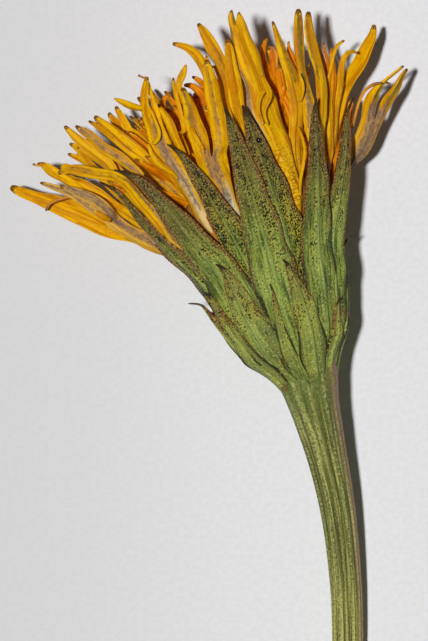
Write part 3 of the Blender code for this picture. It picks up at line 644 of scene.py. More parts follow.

# Each ligule's angle in the head, its ring and the way its back faces at the
# lobes. Then, where they differ from lay_ligule's own: how strong the stripe is,
# where it lies across the strap (stripe_at, breadth) and where it begins
# (stripe_from); how strong the cream is at the foot, how much of it is left at
# the lobes (bloom), where on them it ends (bloom_end), and where it lies across
# (pale_at, pale_breadth); how thick the dust and its painted glints are; each
# lobe's own stripe as strength, place and breadth (bands); and whether it is one
# of the inner ones, which take the deeper orange skin of painted shade. Then its
# body, its lobes and extra teeth that stand up from its edges. A station is
# height above the foot, distance across the head, distance in front of its axis,
# and half width.
SHOWN_LIGULES = {
    "low_left": dict(
        angle=-111, ring="flared", turn=-190,
        body=((9.2, -5.9, -2.0, 0.34), (10.0, -6.6, -2.3, 0.49), (11.2, -7.9, -2.6, 0.63),
            (12.3, -9.0, -2.8, 0.66)),
        lobes=(((13.3, -10.1, -3.0, 0.54), (14.1, -11.1, -3.1, 0.34), (14.8, -11.9, -3.1, 0.29),
            (15.1, -12.2, -3.0, 0.22)),)),
    "purple_left": dict(
        angle=-94, ring="flared", turn=-15, stripe=1.1, cream=0.55, stripe_at=0.3, bloom=0.6, bloom_end=1.4,
        bands=((1.0, 0.1, 0.6), (1.1, 0.2, 0.8)),
        body=((9.7, -6.2, -0.6, 0.31), (10.4, -6.8, -0.3, 0.40), (11.2, -7.4, 0.0, 0.49)),
        lobes=(((11.7, -7.8, 0.1, 0.26), (12.2, -8.2, 0.2, 0.29), (13.0, -8.7, 0.3, 0.27),
            (13.7, -9.3, 0.4, 0.22), (14.3, -10.0, 0.5, 0.17), (14.7, -10.5, 0.6, 0.08)),
            ((11.9, -7.5, 0.7, 0.34), (12.6, -7.9, 1.0, 0.37), (13.2, -8.5, 1.2, 0.31),
            (13.7, -9.0, 1.2, 0.20), (14.1, -9.5, 1.2, 0.07))),
        extras=(((11.3, -7.5, 0.9, 0.14), (11.7, -7.9, 1.3, 0.17), (12.1, -8.2, 1.2, 0.09)),)),
    "behind_left": dict(
        angle=-82, ring="middle", turn=-40, stripe=0.2,
        body=((10.8, -6.4, -0.9, 0.29), (11.9, -7.0, -0.9, 0.46), (13.0, -7.9, -1.0, 0.51),
            (13.9, -8.6, -1.0, 0.49)),
        lobes=(((14.7, -9.4, -0.9, 0.37), (15.3, -9.9, -0.8, 0.34), (15.7, -10.1, -0.7, 0.20),
            (15.8, -10.3, -0.6, 0.07)),
            ((14.5, -8.8, -0.1, 0.17), (15.0, -9.1, 0.3, 0.16), (15.2, -9.1, 0.4, 0.15),
            (15.2, -8.8, 0.3, 0.13), (14.9, -8.5, 0.1, 0.07)))),
    "level": dict(
        angle=-50, ring="outer", turn=-10, stripe=1.1, cream=0.5, stripe_at=0.65, bloom=0.15, breadth=0.4,
        stripe_from=0.4, bands=((0.75, 0.1, 0.5),),
        body=((8.9, -4.7, 2.7, 0.17), (10.1, -4.95, 3.0, 0.29), (11.1, -5.3, 3.1, 0.37),
            (11.9, -5.6, 3.2, 0.38), (12.6, -5.8, 3.4, 0.32)),
        lobes=(((13.2, -6.1, 3.7, 0.26), (13.6, -6.5, 3.9, 0.29), (14.0, -7.3, 4.0, 0.34),
            (14.5, -8.1, 4.0, 0.33), (14.8, -8.7, 3.9, 0.23), (14.8, -9.3, 3.7, 0.07)),)),
    "pair_gold": dict(
        angle=-66, ring="middle", turn=-30, stripe=0.6, cream=0.1, stripe_at=0.6, bloom=0.45, bloom_end=1.4,
        bands=((0.2, 0.0, 0.4), (1.0, 0.2, 0.7)),
        body=((9.4, -5.1, 1.0, 0.29), (10.5, -5.4, 1.2, 0.46), (11.8, -5.8, 1.4, 0.57),
            (13.0, -6.2, 1.5, 0.57)),
        lobes=(((14.3, -6.5, 1.6, 0.37), (15.2, -7.0, 1.5, 0.37), (16.1, -7.6, 1.4, 0.31),
            (16.7, -7.9, 1.3, 0.23), (17.2, -8.1, 1.3, 0.08)),
            ((13.0, -5.0, 1.9, 0.29), (13.8, -5.4, 2.0, 0.33), (14.6, -5.9, 2.0, 0.35),
            (15.3, -6.5, 2.1, 0.35), (16.3, -7.0, 2.0, 0.29), (16.8, -7.4, 2.0, 0.17),
            (17.0, -7.5, 2.0, 0.07)))),
    "pair_orange": dict(
        angle=-100, ring="middle", turn=-60,
        body=((9.7, -5.7, -2.0, 0.34), (11.5, -6.3, -2.2, 0.46), (13.1, -6.8, -2.3, 0.51),
            (14.2, -7.4, -2.4, 0.51)),
        lobes=(((15.0, -7.8, -3.0, 0.26), (15.5, -8.2, -3.2, 0.20), (15.8, -8.5, -3.4, 0.08)),
            ((15.3, -7.8, -2.6, 0.31), (16.0, -8.0, -2.8, 0.26), (16.3, -8.2, -2.8, 0.09)))),
    "pair_under": dict(
        angle=-74, ring="middle", turn=-40, stripe=0.2, stripe_at=0.5,
        body=((11.5, -5.60, 0.4, 0.45), (12.65, -5.99, 0.4, 0.48), (13.59, -6.25, 0.4, 0.52),
            (14.4, -6.6, 0.4, 0.50)),
        lobes=(((15.1, -7.2, 0.4, 0.28), (15.6, -7.6, 0.4, 0.20), (15.9, -7.8, 0.4, 0.08)),
            ((15.3, -6.9, 0.4, 0.26), (15.9, -7.2, 0.4, 0.18), (16.2, -7.4, 0.4, 0.07)))),
    "striped": dict(
        angle=-52, ring="middle", turn=-20, stripe=0.7, cream=0.1, stripe_at=-0.1, bloom=0.3, bloom_end=1.0,
        bands=((0.4, 0.3, 0.4), (1.0, -0.35, 0.4)),
        body=((9.4, -2.5, 2.0, 0.17), (10.6, -3.0, 2.1, 0.29), (11.8, -3.6, 2.3, 0.37),
            (12.9, -4.1, 2.4, 0.43)),
        lobes=(((13.6, -4.6, 2.7, 0.21), (14.7, -5.3, 2.8, 0.18), (16.0, -6.0, 2.6, 0.17),
            (16.6, -6.4, 2.4, 0.16), (17.0, -6.7, 2.3, 0.08)),
            ((14.0, -4.6, 2.5, 0.46), (15.0, -5.1, 2.5, 0.46), (15.9, -5.7, 2.4, 0.40),
            (16.6, -6.1, 2.3, 0.29), (17.1, -6.3, 2.2, 0.09)))),
    "shaded": dict(
        angle=-75, ring="inner", turn=-200,
        body=((11.8, -3.6, 0.5, 0.40), (13.1, -3.9, 0.4, 0.49), (14.2, -4.2, 0.4, 0.54),
            (15.2, -4.6, 0.3, 0.54)),
        lobes=(((16.2, -5.1, 0.0, 0.27), (16.7, -5.4, -0.1, 0.23), (17.1, -5.5, -0.2, 0.13)),
            ((16.1, -4.8, 0.2, 0.29), (16.8, -4.9, 0.2, 0.22), (17.3, -5.0, 0.1, 0.09)))),
    "looped": dict(
        angle=-32, ring="outer", turn=-15, stripe=1.0, cream=0.75, stripe_at=0.15, bloom=0.5, breadth=0.6,
        dust_and_glint=0.1, stripe_from=0.5, pale_at=0.15, pale_breadth=0.8,
        bands=((0.1, 0.0, 0.4), (0.5, -0.4, 0.4)),
        body=((9.4, -2.5, 3.3, 0.45), (10.7, -2.7, 3.7, 0.50), (12.0, -2.9, 4.1, 0.60),
            (13.1, -3.2, 4.4, 0.66), (14.2, -3.4, 4.6, 0.62), (15.3, -3.35, 4.9, 0.50)),
        lobes=(((16.3, -3.55, 5.3, 0.26), (16.9, -3.4, 5.6, 0.26), (17.6, -3.1, 5.6, 0.23),
            (18.1, -2.8, 5.4, 0.08)),
            ((16.2, -2.95, 5.0, 0.20), (17.1, -2.9, 5.0, 0.12), (17.7, -2.8, 5.1, 0.07),
            (18.0, -2.8, 5.1, 0.04))),
        extras=(((16.5, -3.6, 5.3, 0.16), (16.7, -3.9, 5.5, 0.19), (16.9, -4.2, 5.7, 0.22),
            (17.3, -4.6, 5.8, 0.17), (17.6, -4.9, 5.8, 0.06)),
            ((14.5, -3.8, 5.1, 0.13), (14.6, -3.4, 5.3, 0.13), (15.0, -3.2, 5.5, 0.13),
            (15.5, -3.2, 5.6, 0.11), (16.1, -3.2, 5.6, 0.10), (16.7, -3.3, 5.6, 0.08)),
            ((16.3, -2.7, 5.2, 0.14), (15.4, -2.5, 5.3, 0.24), (14.4, -2.45, 5.1, 0.25),
            (13.4, -2.35, 4.7, 0.20), (12.6, -2.3, 4.3, 0.08)),
            ((14.6, -4.0, 4.9, 0.10), (13.9, -4.0, 4.9, 0.16), (13.2, -3.75, 4.8, 0.20),
            (12.6, -3.3, 4.6, 0.16), (12.2, -3.1, 4.4, 0.06)))),
    "folded": dict(
        angle=-19, ring="middle", turn=-10, stripe=0.1, cream=0.1, stripe_at=0.6,
        body=((11.0, -2.4, 3.0, 0.23), (12.5, -2.5, 3.4, 0.46), (13.7, -2.5, 3.6, 0.57),
            (14.7, -2.5, 3.7, 0.54)),
        lobes=(((15.6, -2.6, 3.6, 0.31), (16.2, -2.7, 3.5, 0.17), (16.5, -2.7, 3.4, 0.06)),
            ((14.5, -1.9, 4.2, 0.17), (15.5, -1.7, 4.3, 0.14), (16.5, -1.6, 4.3, 0.13),
            (17.2, -1.5, 4.2, 0.12), (17.6, -1.4, 4.1, 0.07)))),
    "cleft": dict(
        angle=-6, ring="outer", turn=-4, stripe=0.9, cream=1.0, stripe_at=-0.05, bloom=0.3, bloom_end=0.9,
        dust_and_glint=0.12, bands=((1.0, -0.05, 0.45), (1.0, -0.1, 0.3)), breadth=0.6, pale_at=0.15,
        pale_breadth=0.85, stripe_from=0.45,
        body=((9.9, -0.9, 4.3, 0.23), (10.8, -0.8, 4.6, 0.46), (11.7, -0.9, 4.8, 0.74),
            (12.6, -0.9, 5.0, 0.94)),
        lobes=(((14.1, -1.2, 5.1, 0.54), (14.8, -1.2, 5.2, 0.51), (15.6, -1.1, 5.4, 0.39),
            (16.2, -1.1, 5.5, 0.27), (16.8, -1.1, 5.6, 0.10)),
            ((13.2, -0.1, 5.2, 0.56), (14.2, 0.1, 5.4, 0.53), (15.5, 0.3, 5.6, 0.47),
            (16.6, 0.5, 5.8, 0.40), (17.4, 0.6, 5.8, 0.29), (17.8, 0.7, 5.8, 0.10))),
        extras=(((16.0, -1.4, 5.3, 0.08), (16.7, -1.3, 5.5, 0.13), (17.2, -1.2, 5.6, 0.19),
            (17.6, -0.8, 5.6, 0.22), (18.0, -0.5, 5.6, 0.09)),
            ((14.7, -1.4, 5.2, 0.12), (14.1, -1.4, 5.5, 0.17), (13.6, -1.3, 5.6, 0.15),
            (13.2, -1.15, 5.5, 0.06)))),
    "curved": dict(
        angle=-25, ring="inner", turn=0, stripe=0.6,
        body=((14.0, 0.3, 1.8, 0.40), (15.7, 0.6, 2.0, 0.37), (16.9, 0.6, 2.2, 0.34)),
        lobes=(((17.7, 0.5, 2.2, 0.31), (18.5, 0.3, 2.3, 0.29), (19.1, -0.1, 2.3, 0.20),
            (19.5, -0.7, 2.3, 0.07)),)),
    "tall_left": dict(
        angle=8, ring="middle", turn=5, stripe=0.8, stripe_at=0.1,
        body=((12.9, 0.9, 2.9, 0.46), (14.8, 1.2, 3.1, 0.46), (16.4, 1.4, 3.3, 0.46),
            (17.5, 1.4, 3.3, 0.43)),
        lobes=(((17.5, 0.8, 2.8, 0.14), (18.0, 0.8, 2.7, 0.10), (18.2, 0.8, 2.6, 0.05)),
            ((18.5, 1.3, 3.3, 0.38), (19.2, 1.2, 3.4, 0.33), (19.7, 1.1, 3.5, 0.23),
            (20.0, 1.0, 3.5, 0.07)))),
    "plain": dict(
        angle=16, ring="outer", turn=10, stripe=0.1, cream=0.1,
        body=((11.8, 1.3, 4.3, 0.17), (13.0, 1.4, 4.7, 0.29), (14.1, 1.4, 4.9, 0.40),
            (15.1, 1.5, 5.1, 0.45), (16.1, 1.7, 5.3, 0.46)),
        lobes=(((17.1, 1.9, 5.5, 0.39), (17.9, 2.1, 5.6, 0.27), (18.5, 2.2, 5.7, 0.08)),)),
    "largest": dict(
        angle=38, ring="outer", turn=18, stripe=1.3, cream=0.9, stripe_at=-0.88, breadth=0.17, dust_and_glint=0.36,
        bands=((1.2, 0.5, 0.5), (0.0, 0.0, 0.4)), bloom=0.1, pale_at=-0.85, pale_breadth=0.25,
        body=((9.1, 3.1, 3.6, 0.40), (10.8, 3.1, 3.9, 0.66), (12.5, 3.0, 4.2, 0.86), (14.3, 2.9, 4.4, 0.92),
            (15.8, 3.0, 4.6, 0.83), (17.2, 3.0, 4.7, 0.74), (18.3, 3.0, 4.8, 0.68),
            (19.0, 3.08, 4.9, 0.56)),
        lobes=(((19.45, 2.82, 4.9, 0.22), (19.88, 2.91, 4.9, 0.14), (20.03, 3.0, 4.9, 0.06)),
            ((19.3, 3.25, 4.8, 0.29), (19.5, 3.32, 4.8, 0.20), (19.73, 3.32, 4.8, 0.10),
            (19.81, 3.35, 4.8, 0.05))),
        extras=(((16.06, 3.35, 4.7, 0.09), (15.50, 3.39, 5.0, 0.15), (14.94, 3.43, 5.3, 0.17),
            (14.57, 3.27, 5.4, 0.14), (14.33, 2.93, 5.4, 0.13), (13.87, 2.70, 5.3, 0.11),
            (13.34, 2.73, 5.2, 0.09)),
            ((15.18, 3.27, 5.0, 0.10), (15.05, 2.95, 5.2, 0.15), (14.68, 2.64, 5.4, 0.13),
            (14.13, 2.47, 5.3, 0.11), (13.47, 2.47, 5.2, 0.09)))),
    "leaning": dict(
        angle=52, ring="middle", turn=35, stripe=0.5, cream=0.3, stripe_at=0.1, breadth=0.3, dust_and_glint=0.25,
        bands=((1.0, 0.15, 0.28),),
        body=((8.6, 3.2, 2.5, 0.23), (10.1, 3.5, 2.7, 0.34), (11.5, 3.8, 2.9, 0.46), (12.7, 4.3, 3.0, 0.49),
            (13.6, 4.7, 3.1, 0.46)),
        lobes=(((15.4, 5.0, 3.2, 0.46), (16.5, 5.0, 3.3, 0.40), (17.5, 5.0, 3.3, 0.27),
            (18.3, 5.0, 3.3, 0.16), (18.7, 5.0, 3.3, 0.06)),),
        extras=(((13.9, 4.9, 3.6, 0.09), (14.3, 5.2, 3.9, 0.11), (14.8, 5.4, 4.0, 0.11),
            (15.4, 5.4, 3.8, 0.06)),
            ((12.67, 4.31, 3.3, 0.09), (11.94, 4.32, 3.8, 0.11), (11.26, 4.19, 4.0, 0.10),
            (10.52, 3.86, 4.0, 0.11), (9.82, 3.45, 3.9, 0.11), (8.97, 3.11, 3.7, 0.07)))),
    "twin": dict(
        angle=62, ring="outer", turn=22, stripe=1.0, cream=0.95, stripe_at=-0.5, bloom=0.3, breadth=0.35,
        bands=((1.1, 0.05, 0.6), (1.0, -0.5, 0.3)), pale_at=-0.2, pale_breadth=0.75,
        body=((9.7, 4.7, 2.0, 0.23), (11.0, 5.0, 2.4, 0.50), (12.0, 5.25, 2.7, 0.68),
            (12.8, 5.5, 2.9, 0.76), (13.4, 5.72, 3.0, 0.77)),
        lobes=(((14.3, 5.4, 3.0, 0.32), (15.1, 5.55, 3.0, 0.29), (16.1, 5.75, 3.1, 0.30),
            (17.3, 6.1, 3.2, 0.33), (18.2, 6.4, 3.2, 0.31), (18.8, 6.6, 3.2, 0.20)),
            ((14.1, 6.3, 2.8, 0.35), (15.0, 6.55, 2.6, 0.35), (16.0, 6.65, 2.6, 0.34),
            (17.0, 6.75, 2.6, 0.33), (17.9, 6.9, 2.6, 0.30), (18.5, 7.1, 2.6, 0.18)))),
    "straight": dict(
        angle=84, ring="outer", turn=170,
        body=((10.3, 5.5, -0.4, 0.20), (11.6, 6.1, -0.5, 0.27), (12.7, 6.8, -0.6, 0.34),
            (13.6, 7.4, -0.8, 0.39)),
        lobes=(((14.3, 8.1, -1.1, 0.40), (15.0, 9.0, -1.5, 0.39), (15.7, 9.7, -1.8, 0.34),
            (16.3, 10.3, -2.0, 0.24), (16.7, 10.5, -2.0, 0.07)),)),
    "purple_right": dict(
        angle=103, ring="flared", turn=25, stripe=1.7, cream=0.65, stripe_at=0.1, bloom=0.5, breadth=0.7,
        bands=((1.3, 0.35, 0.45), (1.4, 0.0, 0.5)), pale_at=-0.1, pale_breadth=2.0,
        body=((8.8, 5.6, -1.6, 0.17), (9.5, 6.4, -1.6, 0.40), (10.2, 7.3, -1.5, 0.60),
            (10.9, 7.95, -1.4, 0.70), (11.6, 8.55, -1.3, 0.72)),
        lobes=(((12.2, 8.5, -1.0, 0.42), (12.7, 8.9, -0.7, 0.42), (13.2, 9.4, -0.3, 0.24),
            (13.5, 10.0, -0.1, 0.11), (13.7, 10.6, 0.0, 0.09), (13.9, 11.2, 0.1, 0.07)),
            ((12.0, 9.4, -1.4, 0.34), (12.4, 9.8, -1.5, 0.31), (12.8, 10.4, -1.5, 0.26),
            (13.5, 11.1, -1.5, 0.16), (13.7, 11.4, -1.5, 0.06)))),
    "fold_orange": dict(
        angle=35, ring="middle", turn=30, inner=True,
        body=((10.2, 4.0, 2.0, 0.5), (11.4, 4.2, 2.0, 0.5), (12.8, 4.4, 2.0, 0.45)),
        lobes=(((13.9, 4.4, 2.1, 0.40), (14.9, 4.3, 2.1, 0.34), (15.7, 4.4, 2.0, 0.23),
            (16.3, 4.5, 1.9, 0.07)),)),
    "shade_loop": dict(
        angle=60, ring="inner", turn=20, inner=True,
        body=((11.4, 4.0, 0.9, 0.5), (13.2, 4.2, 0.9, 0.46), (14.5, 4.2, 0.9, 0.46)),
        lobes=(((15.5, 4.2, 1.0, 0.34), (16.3, 4.3, 1.1, 0.29), (17.1, 4.4, 1.1, 0.23),
            (17.5, 4.3, 1.1, 0.09)),)),
    "small_tip": dict(
        angle=40, ring="inner", turn=10, inner=True,
        body=((13.2, 4.1, 1.4, 0.4), (14.8, 3.9, 1.4, 0.35), (16.2, 3.8, 1.3, 0.23)),
        lobes=(((17.3, 3.9, 1.3, 0.16), (17.7, 4.1, 1.3, 0.14), (18.0, 4.4, 1.3, 0.06)),)),
    "behind_leaning": dict(
        angle=55, ring="middle", turn=40, inner=True,
        body=((11.9, 4.6, 1.8, 0.5), (13.5, 4.9, 1.8, 0.45), (15.0, 5.2, 1.8, 0.38)),
        lobes=(((15.9, 5.4, 1.8, 0.29), (16.7, 5.4, 1.8, 0.17), (17.2, 5.4, 1.8, 0.11),
            (17.4, 5.5, 1.8, 0.05)),)),
    "behind_twin": dict(
        angle=75, ring="middle", turn=40, inner=True,
        body=((10.9, 5.4, 0.6, 0.5), (12.5, 6.0, 0.6, 0.5), (13.9, 6.5, 0.6, 0.46)),
        lobes=(((15.0, 6.8, 0.6, 0.40), (15.9, 7.0, 0.5, 0.29), (16.7, 7.0, 0.4, 0.11)),
            ((15.7, 7.3, 0.3, 0.17), (16.3, 7.3, 0.2, 0.11), (16.7, 7.4, 0.1, 0.06)))),
    "broad_orange": dict(
        angle=72, ring="outer", turn=50, inner=True,
        body=((10.3, 5.4, 0.9, 0.45), (11.9, 6.1, 0.9, 0.36), (13.2, 6.6, 0.9, 0.29),
            (14.5, 7.2, 0.9, 0.26)),
        lobes=(((15.4, 7.5, 0.9, 0.22), (15.9, 7.6, 0.9, 0.21), (16.2, 7.7, 0.9, 0.09)),)),
    "hooked_right": dict(
        angle=80, ring="middle", turn=30,
        body=((10.1, 5.3, 0.5, 0.45), (11.6, 6.1, 0.5, 0.35), (12.9, 6.7, 0.5, 0.28),
            (13.9, 7.3, 0.4, 0.26)),
        lobes=(((14.8, 7.8, 0.3, 0.24), (15.4, 8.1, 0.3, 0.18), (15.7, 8.5, 0.3, 0.13),
            (15.7, 8.8, 0.1, 0.10), (15.5, 9.0, -0.2, 0.06)),)),
    "thin_right": dict(
        angle=68, ring="middle", turn=30,
        body=((10.9, 5.5, 1.2, 0.4), (12.2, 6.0, 1.2, 0.29), (13.6, 6.5, 1.2, 0.18)),
        lobes=(((14.4, 6.8, 1.2, 0.11), (15.2, 7.3, 1.2, 0.10), (15.9, 7.7, 1.2, 0.10),
            (16.3, 8.1, 1.1, 0.11), (16.4, 8.5, 0.9, 0.06)),)),
    "dark_right": dict(
        angle=100, ring="outer", turn=40, inner=True,
        body=((8.8, 5.3, -1.4, 0.4), (9.8, 5.9, -1.4, 0.4), (10.8, 6.6, -1.6, 0.4)),
        lobes=(((11.7, 7.0, -1.7, 0.37), (12.4, 7.4, -1.8, 0.29), (13.1, 7.8, -1.8, 0.11)),)),
    "tooth_left": dict(
        angle=-40, ring="inner", turn=-10, inner=True,
        body=((12.9, -1.7, 1.5, 0.5), (14.5, -2.0, 1.5, 0.46), (15.7, -2.2, 1.4, 0.40)),
        lobes=(((16.4, -2.5, 1.4, 0.17), (16.8, -2.3, 1.3, 0.16), (16.9, -2.0, 1.3, 0.13),
            (17.0, -1.8, 1.2, 0.06)),
            ((16.0, -1.8, 0.9, 0.23), (16.4, -1.8, 0.8, 0.14), (16.5, -2.0, 0.7, 0.07)))),
    "tooth_high": dict(
        angle=-5, ring="inner", turn=0, inner=True,
        body=((13.1, -0.6, 2.0, 0.5), (14.6, -0.4, 2.0, 0.46), (15.5, -0.2, 1.9, 0.34)),
        lobes=(((16.1, -0.1, 1.9, 0.23), (16.6, -0.3, 1.8, 0.23), (17.0, -0.6, 1.7, 0.18),
            (17.1, -0.9, 1.6, 0.07)),
            ((16.4, 0.1, 1.4, 0.17), (16.8, 0.1, 1.3, 0.17), (17.2, -0.1, 1.2, 0.15),
            (17.4, -0.3, 1.1, 0.06)))),
    "mass_left": dict(
        angle=-20, ring="inner", turn=0, inner=True,
        body=((12.6, -0.9, 1.0, 0.5), (14.0, -0.9, 1.0, 0.51), (15.0, -0.8, 1.0, 0.51)),
        lobes=(((15.6, -0.7, 1.0, 0.46), (16.0, -0.6, 1.0, 0.34), (16.3, -0.5, 1.0, 0.17)),)),
    "mass_low": dict(
        angle=-50, ring="inner", turn=-10, inner=True,
        body=((12.0, -1.8, 0.8, 0.5), (13.6, -2.0, 0.8, 0.51), (14.9, -2.1, 0.8, 0.51)),
        lobes=(((15.7, -2.2, 0.8, 0.40), (16.0, -2.3, 0.8, 0.29), (16.3, -2.3, 0.8, 0.11)),)),
}


def ligule_skin(name, gold, stripe_share, tip_share):
    """Petal skin: thin, silky, veined along, and clear enough to glow a little."""
    material, shader, lie, (stripe, base, tip) = new_surface(name)
    vein = pattern(lie, (5.4, 0.24, 1.0), 4.0, 0.65)
    patch = pattern(lie, (1.6, 0.6, 1.0), 4.0, 0.6)
    fleck = pattern(lie, (7.0, 3.5, 1.0), 3.0, 0.65)
    grit = pattern(lie, (9.0, 9.0, 1.0), 2.0)
    # The stripe is olive on the lobes, and grey with a lilac bloom lower down.
    stripe = stripe + (vein - 0.5) * 1.6 + (patch - 0.5) * 1.2 + (fleck - 0.5) * 1.2
    bloom = vein.to("rise", 0.38, 0.58).to("mix", "BC9C6C", "887068")
    bloom = bloom.coated((fleck.to("rise", 0.47, 0.60, 0.0, 0.65), "5C4450"))
    ink = patch.to("rise", 0.38, 0.62).to("mix", "565024", "8A7236")
    ink = ink.coated((base.to("rise", 0.05, 0.35), bloom))
    # The strap pales to yellow and cream at its foot. Brown dust from the bracts lies
    # on the foot of some straps, with bright specks that are partly gold dust and partly painted glints.
    # The gold is streaked lighter and deeper orange along the veins and patched deeper orange: partly the
    # strap's own tone, partly painted highlight on its pleats and painted shade in their valleys.
    colour = vein.to("rise", 0.38, 0.58).to("mix", gold[0], gold[1]).coated(
        (patch.to("rise", 0.48, 0.66, 0.0, 0.7), gold[2]),
        (fleck.to("rise", 0.54, 0.70, 0.0, 0.35), "A86800"),
        (base.to("rise", 0.3, 0.75, 0.0, 0.75), "F4C030"),
        (base.to("rise", 0.5, 1.0) * vein.to("rise", 0.3, 0.6, 0.75, 1.0), "FFF4C8"),
        (stripe.to("rise", 0.4, 1.2, 0.0, stripe_share), ink),
        ((grit + tip * 0.5).to("rise", 0.70, 0.76, 0.0, 0.55), "985408"),
        # Bright specks where the dust lies and near the dark tips: partly gold dust, partly painted glints.
        (tip.to("rise", 0.05, 0.3) * grit.to("rise", 0.46, 0.39, 0.0, 0.8), "FFD648"),
        ((tip + (fleck - 0.5) * 0.7).to("rise", 0.35, 0.95, 0.0, tip_share), "4A2606"),
    )
    feed(shader, {"Base Color": colour, "IOR": 1.4, "Specular IOR Level": 0.14,
                  "Roughness": vein.to("rise", 0.3, 0.7, 0.40, 0.58),
                  "Normal": (vein + fleck * 0.5).to("relief", 0.11 * MM, 0.85)})
    # Part of the light sinks through the skin, and leaves on the other side.
    tree = material.node_tree
    through = Field(add_node(tree, "BsdfTranslucent", {"Color": colour}).outputs[0])
    shares = {0: PETAL_CLEARNESS, 1: Field(shader.outputs[0]), 2: through}
    skin = Field(add_node(tree, "MixShader", shares).outputs[0])
    feed(tree.nodes["Material Output"], {"Surface": skin})
    return material


LIGULE_BACK = ligule_skin("ligule_back_veined", ("D48C00", "FFC800", "DC8A00"), 0.85, 0.6)
LIGULE_FACE = ligule_skin("ligule_face_silky", ("D48A00", "FFC400", "DC8800"), 0.12, 0.6)
# A deeper orange copy of the petal skin for the straps inside the head: painted shade, as they look under the
# other petals.
LIGULE_PAINTED_SHADE = ligule_skin("ligule_orange_painted_shade", ("D67800", "FAA000", "C86000"), 0.3, 0.35)


def cross_section(columns, half_width, cup, roll):
    """A strap's section: places across it and out of its back, in mm."""
    x = np.linspace(-1.0, 1.0, columns + 1)
    middle = (x[1:] + x[:-1]) / 2.0
    bend = cup * middle + roll * np.sign(middle) * np.clip((np.abs(middle) - 0.5) / 0.5, 0.0, 1.0) ** 1.5
    steps = half_width * np.diff(x)
    across = np.concatenate([[0.0], np.cumsum(np.cos(bend) * steps)])
    back = np.concatenate([[0.0], np.cumsum(-np.sin(bend) * steps)])
    widened = float(np.clip(2.0 * half_width / max(across[-1], 1e-6), 1.0, 1.3))
    across, back = across * widened, back * widened
    return across - np.interp(0.0, x, across), back - np.interp(0.0, x, back)


def strap_rows(run, turns, cups, rolls, columns, seed):
    """Rows of places across a strap that follows a run of stations. Its waves
    are in radians for each mm along, and the seed shifts each of them."""
    places = head_place(run)
    ways = directions(places)
    travelled = np.concatenate([[0.0], np.cumsum(spans(places))])
    rows = []
    x = np.linspace(-1.0, 1.0, columns + 1)
    for i, gone in enumerate(travelled):
        right = np.cross(ways[i], outward(turns[i] + TWIST * math.sin(gone * 0.7 + seed)))
        right /= np.linalg.norm(right)
        out = np.cross(right, ways[i])
        half = run[i, 3] * (1.0 + WIDTH_WAVE * math.sin(gone * 2.1 + seed * 3.1))
        across, back = cross_section(columns, half, cups[i], rolls[i])
        back = back + BUCKLE * half * x ** 2 * np.sin(gone * 2.2 + seed * 1.7 + x * 1.4)
        pleats = np.cos(x * 7.5 + seed * 1.3 + 0.5 * math.sin(gone * 0.8)) * (1.0 - x ** 4)
        back = back + PLEAT_DEPTH * min(1.0, half / PLEATED_HALF_WIDTH) * pleats
        rows.append(places[i] + np.outer(across, right) + np.outer(back, out))
    return rows, travelled


class Blades:
    """The places, faces and paint of some ligules as they are laid down."""

    def __init__(self, columns, step):
        self.places, self.faces, self.lie, self.paint, self.weights = [], [], [], [], []
        self.columns, self.step, self.seed = columns, step, 0.0

    def lay(self, row, x, middle, half_width, along, stripe, base, tip):
        """Add a row of corners across the strap and give their numbers."""
        first = len(self.places)
        self.places += list(row)
        self.lie += [(middle + a * half_width, along, self.seed * 3.7) for a in x]
        self.paint += list(beside(stripe, base, tip, x)[:, :3])
        self.weights += list(1.0 - x ** 2)
        return list(range(first, first + len(row)))

    def join(self, low, high):
        """Faces between two rows of corners."""
        for c in range(len(low) - 1):
            self.faces.append((low[c], low[c + 1], high[c + 1], high[c]))


def soft(value, low, high):
    """A smooth rise from 0 to 1 between low and high."""
    t = np.clip((value - low) / (high - low), 0.0, 1.0)
    return t * t * (3.0 - 2.0 * t)


def stripe_across(x, centre, half_width):
    """How strong a stripe is at places across a strap."""
    return 1.0 - soft(np.abs(x - centre), half_width * 0.4, half_width * 1.3)


def steps_for(stations, step=PETAL_STEP):
    """How many rows a run of stations needs."""
    return max(LEAST_ROWS, int(spans(np.asarray(stations)[:, :3]).sum() / step) + 1)


def lay_tooth(petal, run, turn, band, along, bloom=0.0, bloom_end=BLOOM_FADE, root=None, tipped=1.0):
    """One lobe or tooth with a rounded tip, from its own first row or from a
    slice of the body: its row, its numbers, its stripe, where it lies across."""
    columns = len(root[1]) - 1 if root else TOOTH_COLUMNS
    count = len(run)
    share = np.linspace(0.0, 1.0, count)
    rows, travelled = strap_rows(run, np.full(count, turn), np.full(count, LOBE_CUP),
                                 LOBE_FLARE * soft(share, *FLARE_SPAN), columns, petal.seed)
    x = np.linspace(-1.0, 1.0, columns + 1)
    strength, centre, breadth = band
    stripes = stripe_across(x, centre, breadth) * strength
    low = root[1] if root else None
    for r in range(1 if root else 0, count):
        row, stripe, middle, half = rows[r], stripes, 0.0, run[r, 3]
        if root:
            own = soft(share[r], *OWN_SPAN)
            carried = root[0] + (head_place(run[r]) - head_place(run[0]))
            row = carried * (1.0 - own) + row * own
            stripe = root[2] * (1.0 - own) + stripes * own
            middle = root[3]
            half = run[0, 3] * (1.0 - own) + half * own
        left = travelled[-1] - travelled[r]
        edge = soft(np.abs(x), *EDGE_BAND) * (1.0 - soft(left, *DARK_EDGE))
        dark = tipped * np.maximum(1.0 - soft(left, *DARK_TIP), EDGE_DARKNESS * edge)
        base = bloom * (1.0 - soft(share[r], bloom_end - BLOOM_FADE, bloom_end))
        high = petal.lay(row, x, middle, half, along + travelled[r], stripe, base, dark)
        if low:
            petal.join(low, high)
        low = high
    # The last row drawn in and carried on a little, so that the tip is round.
    middle = rows[-1].mean(axis=0)
    onward = middle - rows[-2].mean(axis=0)
    onward *= CAP_LENGTH * run[-1, 3] / np.linalg.norm(onward)
    cap = middle + (rows[-1] - middle) * CAP_WIDTH + onward
    petal.join(low, petal.lay(cap, x, 0.0, run[-1, 3], along + travelled[-1], stripes, 0.0, tipped))


